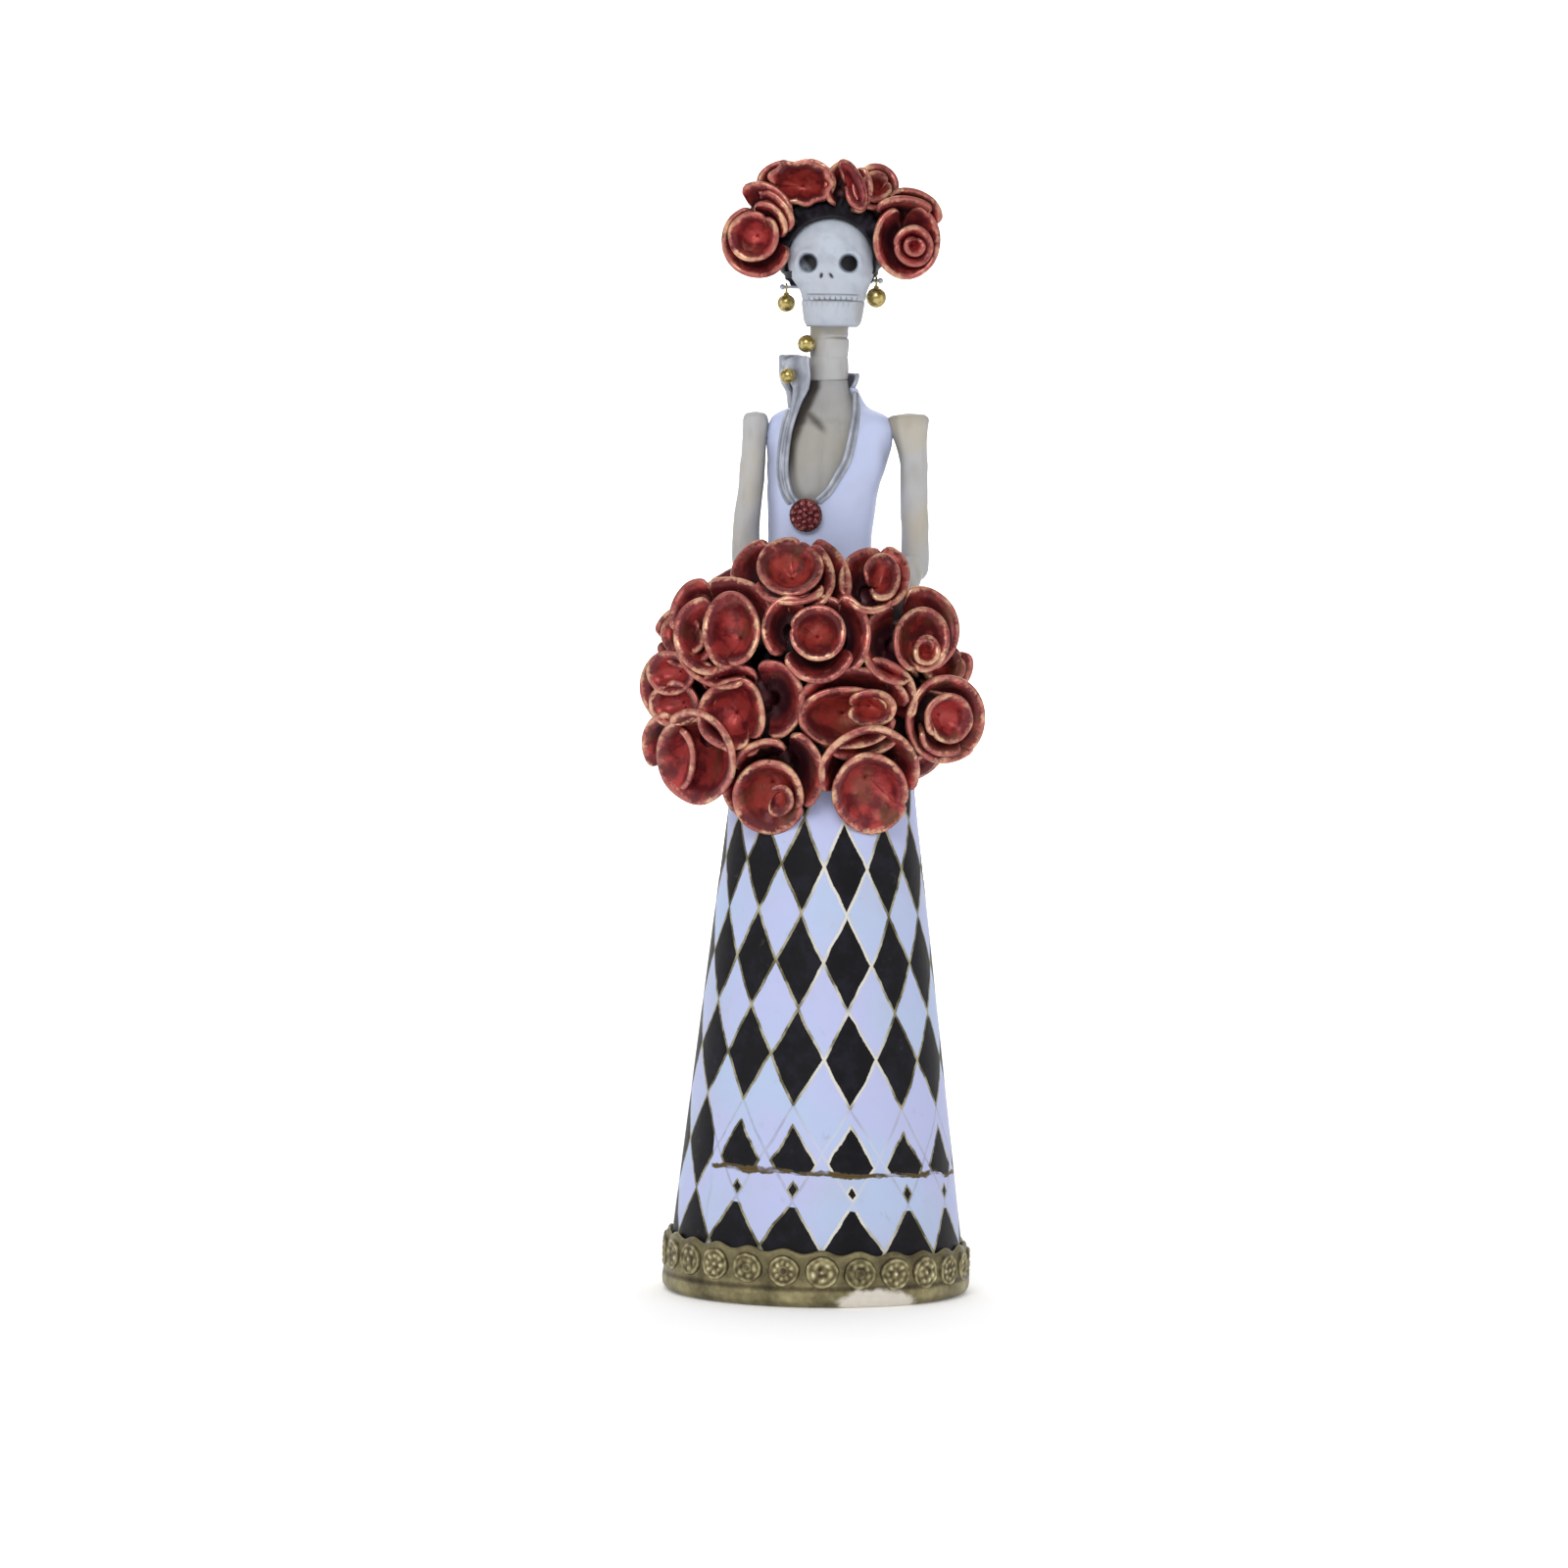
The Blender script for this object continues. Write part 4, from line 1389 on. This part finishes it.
def arm(name, node, pts, radii, shapes, squareness, body="figure", seed=0.0):
    """A limb along pts: radii are (across, deep) pairs, squareness the exponent of the section."""
    P_ = catmull([tuple(p) + tuple(r) + (q,) for p, r, q in zip(pts, radii, squareness)], 90)
    S = Shape()
    secs, dk, st = [], [], []
    m = len(P_) - 1
    for i, row in enumerate(P_):
        c = Vector(row[:3])
        t = (Vector(P_[min(i + 1, m)][:3]) - Vector(P_[max(i - 1, 0)][:3])).normalized()
        side = Vector((1, 0, 0))
        side = (side - t * side.dot(t)).normalized()
        deep = t.cross(side)
        e = 2 / row[5]
        k = 1.0
        lo = min(i / shapes[0], 1.0)
        hi = min((m - i) / shapes[1], 1.0)
        k = (1 - (1 - lo) ** 3.2) ** (1 / 3.2) * math.sqrt(max(0.0, 1 - (1 - hi) ** 2))
        k = max(k, 0.05)
        ring = []
        for s in range(56):
            a = 2 * math.pi * s / 56
            u = math.copysign(abs(math.cos(a)) ** e, math.cos(a)) * row[3] * k
            w = math.copysign(abs(math.sin(a)) ** e, math.sin(a)) * row[4] * k
            q = c + side * u + deep * w
            nrm = (side * u + deep * w).normalized()
            q += nrm * (0.09 * nz(q.x, q.y, q.z, 2.4, seed) + 0.03 * nz(q.x, q.y, q.z, 0.9, seed + 3))
            ring.append(tuple(q))
            inner = smooth(((-1 if c.x > 0 else 1) * (q.x - c.x) - 0.9) / 0.8)
            dk.append(min(0.7, 0.35 * inner * smooth((q.z - 97) / 8)))
            st.append(0.12 + 0.5 * smooth(nz(q.x, q.y, q.z * 0.4, 1.5, seed + 6)) + 0.35 * smooth((q.z - 106.8) / 1.6) * (1 if c.x > 0 else 0.2))
        secs.append(ring)
    v, f = rings(secs)
    S.add(v, f, 0, dark=dk + [0, 0], stain=[min(1, s) for s in st] + [0, 0])
    return S.build(name, body, BONE, (node,))


arm("right_sleeveless_arm", "right_upper_arm", [(-8.95, 0, 109.0), (-8.95, 0, 107.0), (-9.1, 0, 105), (-9.35, 0, 100), (-9.8, -0.1, 96), (-9.95, -0.2, 92.5), (-9.9, -0.9, 88.8)],
    [(1.7, 1.9), (1.62, 1.8), (1.52, 1.8), (1.58, 1.8), (1.62, 1.8), (1.72, 1.75), (1.6, 1.6)], (9, 7), [2.8, 2.5, 2.2, 2.1, 2.1, 2.1, 2.0], seed=1.0)
arm("left_sleeveless_arm", "left_upper_arm", [(9.85, 0, 109.0), (9.95, 0, 107.6), (10.3, 0, 105.6), (10.65, 0, 103.4), (10.75, 0, 100), (10.95, -0.15, 95), (11.0, -0.3, 91), (10.9, -0.9, 88.2)],
    [(2.75, 1.9), (2.55, 1.9), (2.05, 1.9), (1.76, 1.85), (1.72, 1.8), (1.72, 1.8), (1.74, 1.78), (1.6, 1.6)], (7, 7), [3.6, 3.2, 2.6, 2.2, 2.1, 2.1, 2.1, 2.0], seed=5.0)
arm("right_lower_arm", "right_forearm", [(-10.1, -0.5, 90.6), (-9.3, -3.6, 87.6), (-8.4, -6.2, 85.2), (-7.6, -8.5, 83.3)],
    [(1.6, 1.65), (1.6, 1.65), (1.45, 1.5), (1.3, 1.3)], (8, 6), [2.0, 2.1, 2.1, 2.0], seed=8.0)
arm("left_lower_arm", "left_forearm", [(10.9, -0.5, 90.6), (9.7, -3.6, 87.6), (8.3, -6.3, 85.2), (7.2, -8.7, 83.3)],
    [(1.6, 1.65), (1.6, 1.65), (1.45, 1.5), (1.3, 1.3)], (8, 6), [2.0, 2.1, 2.1, 2.0], seed=12.0)
for side, sx in (("right", -1), ("left", 1)):
    S = Shape()
    wrist = Vector((sx * 7.45, -8.4, 83.4))
    tip = Vector((sx * 3.4, -11.4, 80.9))
    d = (tip - wrist).normalized()
    across = d.cross(Vector((0, -0.3, 1))).normalized()
    v, f = ball(wrist.lerp(tip, 0.36), 1.35, 26, 16, d, 0.05, sx, (1.0, 0.62, 1.35))
    S.add(v, f, 0, dark=[0.1] * len(v), stain=[0.3] * len(v))
    for q in range(4):
        o = (q - 1.5) * 0.62
        base_p = wrist.lerp(tip, 0.55) + across * o
        end_p = wrist.lerp(tip, 0.98 - 0.05 * abs(q - 1.2)) + across * (o * 0.8) + Vector((0, 0.25, -0.25))
        mid_p = (base_p + end_p) / 2 + Vector((0, -0.28, 0.16))
        v, f = tube([tuple(r) for r in catmull([base_p, mid_p, end_p], 16)], lambda t: 0.38 - 0.08 * t, 14)
        S.add(v, f, 0, dark=[0.1] * len(v), stain=[0.3] * len(v))
    v, f = tube([tuple(r) for r in catmull([wrist.lerp(tip, 0.3) + across * 1.0, wrist.lerp(tip, 0.5) + across * 1.45, wrist.lerp(tip, 0.72) + across * 1.3], 14)],
                lambda t: 0.36 - 0.06 * t, 14)
    S.add(v, f, 0, dark=[0.1] * len(v), stain=[0.3] * len(v))
    S.build(side + "_hand_folded", "figure", BONE, (side + "_hand",))

# --------------------------------------------------------------------- base
TILT = 0.040        # the painted and moulded rows run slightly downhill across the front


def base_profile():
    return catmull([(16.9, 0.02), (17.9, 0.0), (18.55, 0.22), (18.98, 0.75), (19.10, 1.3), (19.08, 1.9), (18.98, 2.5), (18.84, 3.1), (18.76, 4.2), (18.72, 5.4),
                    (18.62, 6.15), (18.36, 6.45), (18.1, 6.3), (18.0, 5.6), (17.6, 5.1), (16.9, 5.0)], 92)


S = Shape()
prof = base_profile()
NB = 560
kinds = rng.rand(25)
vv, ff, high = [], [], []
for r, z in prof:
    for i in range(NB):
        a = 2 * math.pi * i / NB
        sx, sy = math.sin(a), -math.cos(a)
        top = smooth((z - 3.0) / 2.5)
        # the upper edge swells over each rosette and dips between them
        ph = ((math.degrees(a) - 2) / 14.4) % 1.0
        sc = 0.5 + 0.5 * math.cos(2 * math.pi * ph)
        lump = 0.16 * nz(sx * 18, sy * 18, z, 3.0, 1) + 0.07 * nz(sx * 18, sy * 18, z, 1.0, 2)
        body_ = 1 if r > 17.7 else 0
        zz = z + top * body_ * (0.55 * sc - 0.18 - TILT * sx * 18 * 0.9 + 0.25) + 0.1 * lump * body_
        rr = r + lump * 0.5 * body_ * (1 if r > 18.3 else 0.3)
        # low folds where each rosette was pressed on
        rr += 0.10 * sc * body_ * smooth((z - 2.2) / 0.8) * smooth((6.0 - z) / 0.8) * (1 if r > 18.4 else 0)
        rr = min(rr, 19.22)
        vv.append((rr * sx, rr * sy, max(0.0, zz)))
        high.append(min(1.0, max(0.0, 0.30 + 0.9 * lump + 0.18 * smooth((rr - 18.8) / 0.4) - 0.35 * bump(z - 2.35, 0.55) * (1 if r > 18 else 0))))
npf = len(prof)
for j in range(npf - 1):
    for i in range(NB):
        i2 = (i + 1) % NB
        ff.append((j * NB + i, j * NB + i2, (j + 1) * NB + i2, (j + 1) * NB + i))
for i in range(NB):
    i2 = (i + 1) % NB
    ff.append(((npf - 1) * NB + i, (npf - 1) * NB + i2, i2, i))
S.add(vv, ff, 0, high=high)
S.build("base_moulding", "figure", GILT, ("base_band",))

# rosettes: pressed paper flowers, each a little different and rubbed soft
S = Shape()
for q in range(25):
    a0 = math.radians(q * 14.4 + 2)
    ca, sa = math.sin(a0), -math.cos(a0)
    side = Vector((math.cos(a0), math.sin(a0), 0))
    outv = Vector((ca, sa, 0))
    zc = 4.35 - TILT * ca * 18 * 0.85
    R0 = 2.10 * (0.94 + 0.1 * rng.rand())
    petals_n = [6, 7, 8, 5, 9][int(kinds[q] * 5) % 5]
    turn0 = rng.rand() * 6.28
    hollow = rng.rand()
    sd = q * 2.3
    NR, NT = 26, 60
    vv, ff, high = [], [], []
    for j in range(NR + 1):
        rho = j / NR
        for i in range(NT):
            a = 2 * math.pi * i / NT
            wonk = 1 + 0.07 * nz(math.cos(a) + sd, math.sin(a), sd, 0.8, 11)
            u, w = rho * R0 * wonk * math.cos(a), rho * R0 * wonk * math.sin(a)
            petal_w = 0.5 + 0.5 * math.cos(petals_n * a + turn0 + 1.6 * rho)
            h = 0.0
            h += 0.24 * bump(rho - 0.83, 0.19) * (0.75 + 0.5 * nz(u, w, sd, 1.1, 3))                       # rim
            h += 0.27 * bump(rho - 0.50, 0.25) * (0.25 + 0.75 * petal_w)
            h += (0.30 if hollow < 0.65 else -0.05) * bump(rho, 0.20)   # bead or hole in the middle
            h += 0.10 * bump(rho - 0.24, 0.08) * (1 if hollow > 0.65 else 0.2)
            h += 0.14 * nz(u + sd, w, sd, 0.7, 2)
            worn = 0.75 + 0.25 * nz(q * 1.7, 0, 0, 1.0, 5)
            h = 0.30 + h * worn - 0.32 * smooth((rho - 0.90) / 0.10)
            ang = a0 + u / 18.7
            rad = 18.70 + h * 0.92
            rad = min(rad, 19.28)
            z = zc + w * (1 - 0.03 * rho)
            vv.append((rad * math.sin(ang), -rad * math.cos(ang), z))
            high.append(min(1.0, max(0.0, (h - 0.26) * 3.0 + 0.25 * nz(u, w, sd, 0.5, 7))))
    for j in range(NR):
        for i in range(NT):
            i2 = (i + 1) % NT
            ff.append((j * NT + i, j * NT + i2, (j + 1) * NT + i2, (j + 1) * NT + i))
    # a back, sunk into the band
    b0 = len(vv)
    for i in range(NT):
        a = 2 * math.pi * i / NT
        u, w = R0 * 0.97 * math.cos(a), R0 * 0.97 * math.sin(a)
        ang = a0 + u / 18.4
        vv.append((18.45 * math.sin(ang), -18.45 * math.cos(ang), zc + w))
        high.append(0.0)
    for i in range(NT):
        i2 = (i + 1) % NT
        ff.append((NR * NT + i, NR * NT + i2, b0 + i2, b0 + i))
    vv.append((18.40 * ca, 18.40 * sa, zc))
    high.append(0.0)
    ff += [(b0 + i, b0 + (i + 1) % NT, len(vv) - 1) for i in range(NT)]
    S.add(vv, ff, 0, high=high)
S.build("base_flowers", "figure", GILT, ("base_rosettes",))

# --------------------------------------------------- CAD pieces kept as they are
for node, mat in (("skirt_shell", HARLEQUIN), ("base_disc", WOOD), ("skirt_core", PACKED), ("armature_wire", STEEL), ("shoulder_rod", STEEL),
                  ("neck_socket", PACKED), ("right_ear_pin", SKULL), ("left_ear_pin", SKULL)):
    me = NODES[node].data
    if not me.materials:
        me.materials.append(mat)
    for i in range(len(me.materials)):
        me.materials[i] = mat

# ------------------------------------------------------------ floor and light
me = bpy.data.meshes.new("floor_sweep")
vv, ff = [], []
rows = catmull([(-1.4, 0), (0.2, 0), (0.9, 0), (1.35, 0.02), (1.62, 0.14), (1.75, 0.42), (1.80, 0.9), (1.80, 1.7)], 60)
for y, z in rows:
    vv += [(-2.2, y, z - 0.00002), (2.2, y, z - 0.00002)]
for i in range(len(rows) - 1):
    ff.append((2 * i, 2 * i + 1, 2 * i + 3, 2 * i + 2))
me.from_pydata([tuple(map(float, v)) for v in vv], [], ff)
me.polygons.foreach_set("use_smooth", [True] * len(ff))
me.update()
floor = bpy.data.objects.new("floor_sweep", me)
scene.collection.objects.link(floor)
fm_ = Nodes("floor_white")
fm_.b.inputs["Emission Color"].default_value = (1, 1, 1, 1)
me.materials.append(fm_.done(fm_.mix(fm_.noise(6, 2), (0.90, 0.90, 0.90), (0.93, 0.93, 0.93)), 0.9, 0.0, Specular_IOR_Level=0.1, Emission_Strength=0.20))

world = bpy.data.worlds.new("studio_white")
scene.world = world
world.use_nodes = True
world.node_tree.nodes["Background"].inputs[0].default_value = (1, 1, 1, 1)
world.node_tree.nodes["Background"].inputs[1].default_value = 0.37


def area(name, loc, aim, size, watts, color=(1, 1, 1), size_y=None):
    L = bpy.data.lights.new(name, "AREA")
    L.energy = watts
    L.size = size
    L.color = color
    if size_y:
        L.shape = "RECTANGLE"
        L.size_y = size_y
    o = bpy.data.objects.new(name, L)
    o.location = loc
    o.rotation_euler = (Vector(aim) - Vector(loc)).to_track_quat("-Z", "Y").to_euler()
    scene.collection.objects.link(o)
    return o


area("key_front", (-0.10, -0.55, 0.42), (0, 0, 0.07), 0.30, 1.6, (1, 0.99, 0.97), 0.22)
area("side_left", (-0.55, -0.25, 0.22), (0, 0, 0.07), 0.30, 0.42, (0.97, 0.98, 1))
area("side_right", (0.55, -0.25, 0.24), (0, 0, 0.07), 0.30, 0.42, (1, 0.99, 0.97))
area("back_wash", (0.0, 0.9, 0.55), (0, 1.8, 0.35), 1.2, 14.0)
area("floor_wash", (0.0, 0.75, 0.9), (0, 0.75, 0), 1.3, 7.0)

cam = bpy.data.cameras.new("photo_camera")
cam.lens = 167
cam.sensor_width = 36
cam.clip_start = 0.01
cam.clip_end = 20
co = bpy.data.objects.new("photo_camera", cam)
scene.collection.objects.link(co)
eye, aim_at = Vector((-0.0048, -0.900, 0.112)), Vector((-0.0048, 0, 0.0629))
co.location = eye
look = (aim_at - eye).to_track_quat("-Z", "Y")
from mathutils import Quaternion
co.rotation_mode = "QUATERNION"
co.rotation_quaternion = look @ Quaternion((0, 0, 1), math.radians(0.8))
scene.camera = co
scene.view_settings.view_transform = "Standard"
scene.view_settings.look = "None"
scene.view_settings.exposure = 0.0
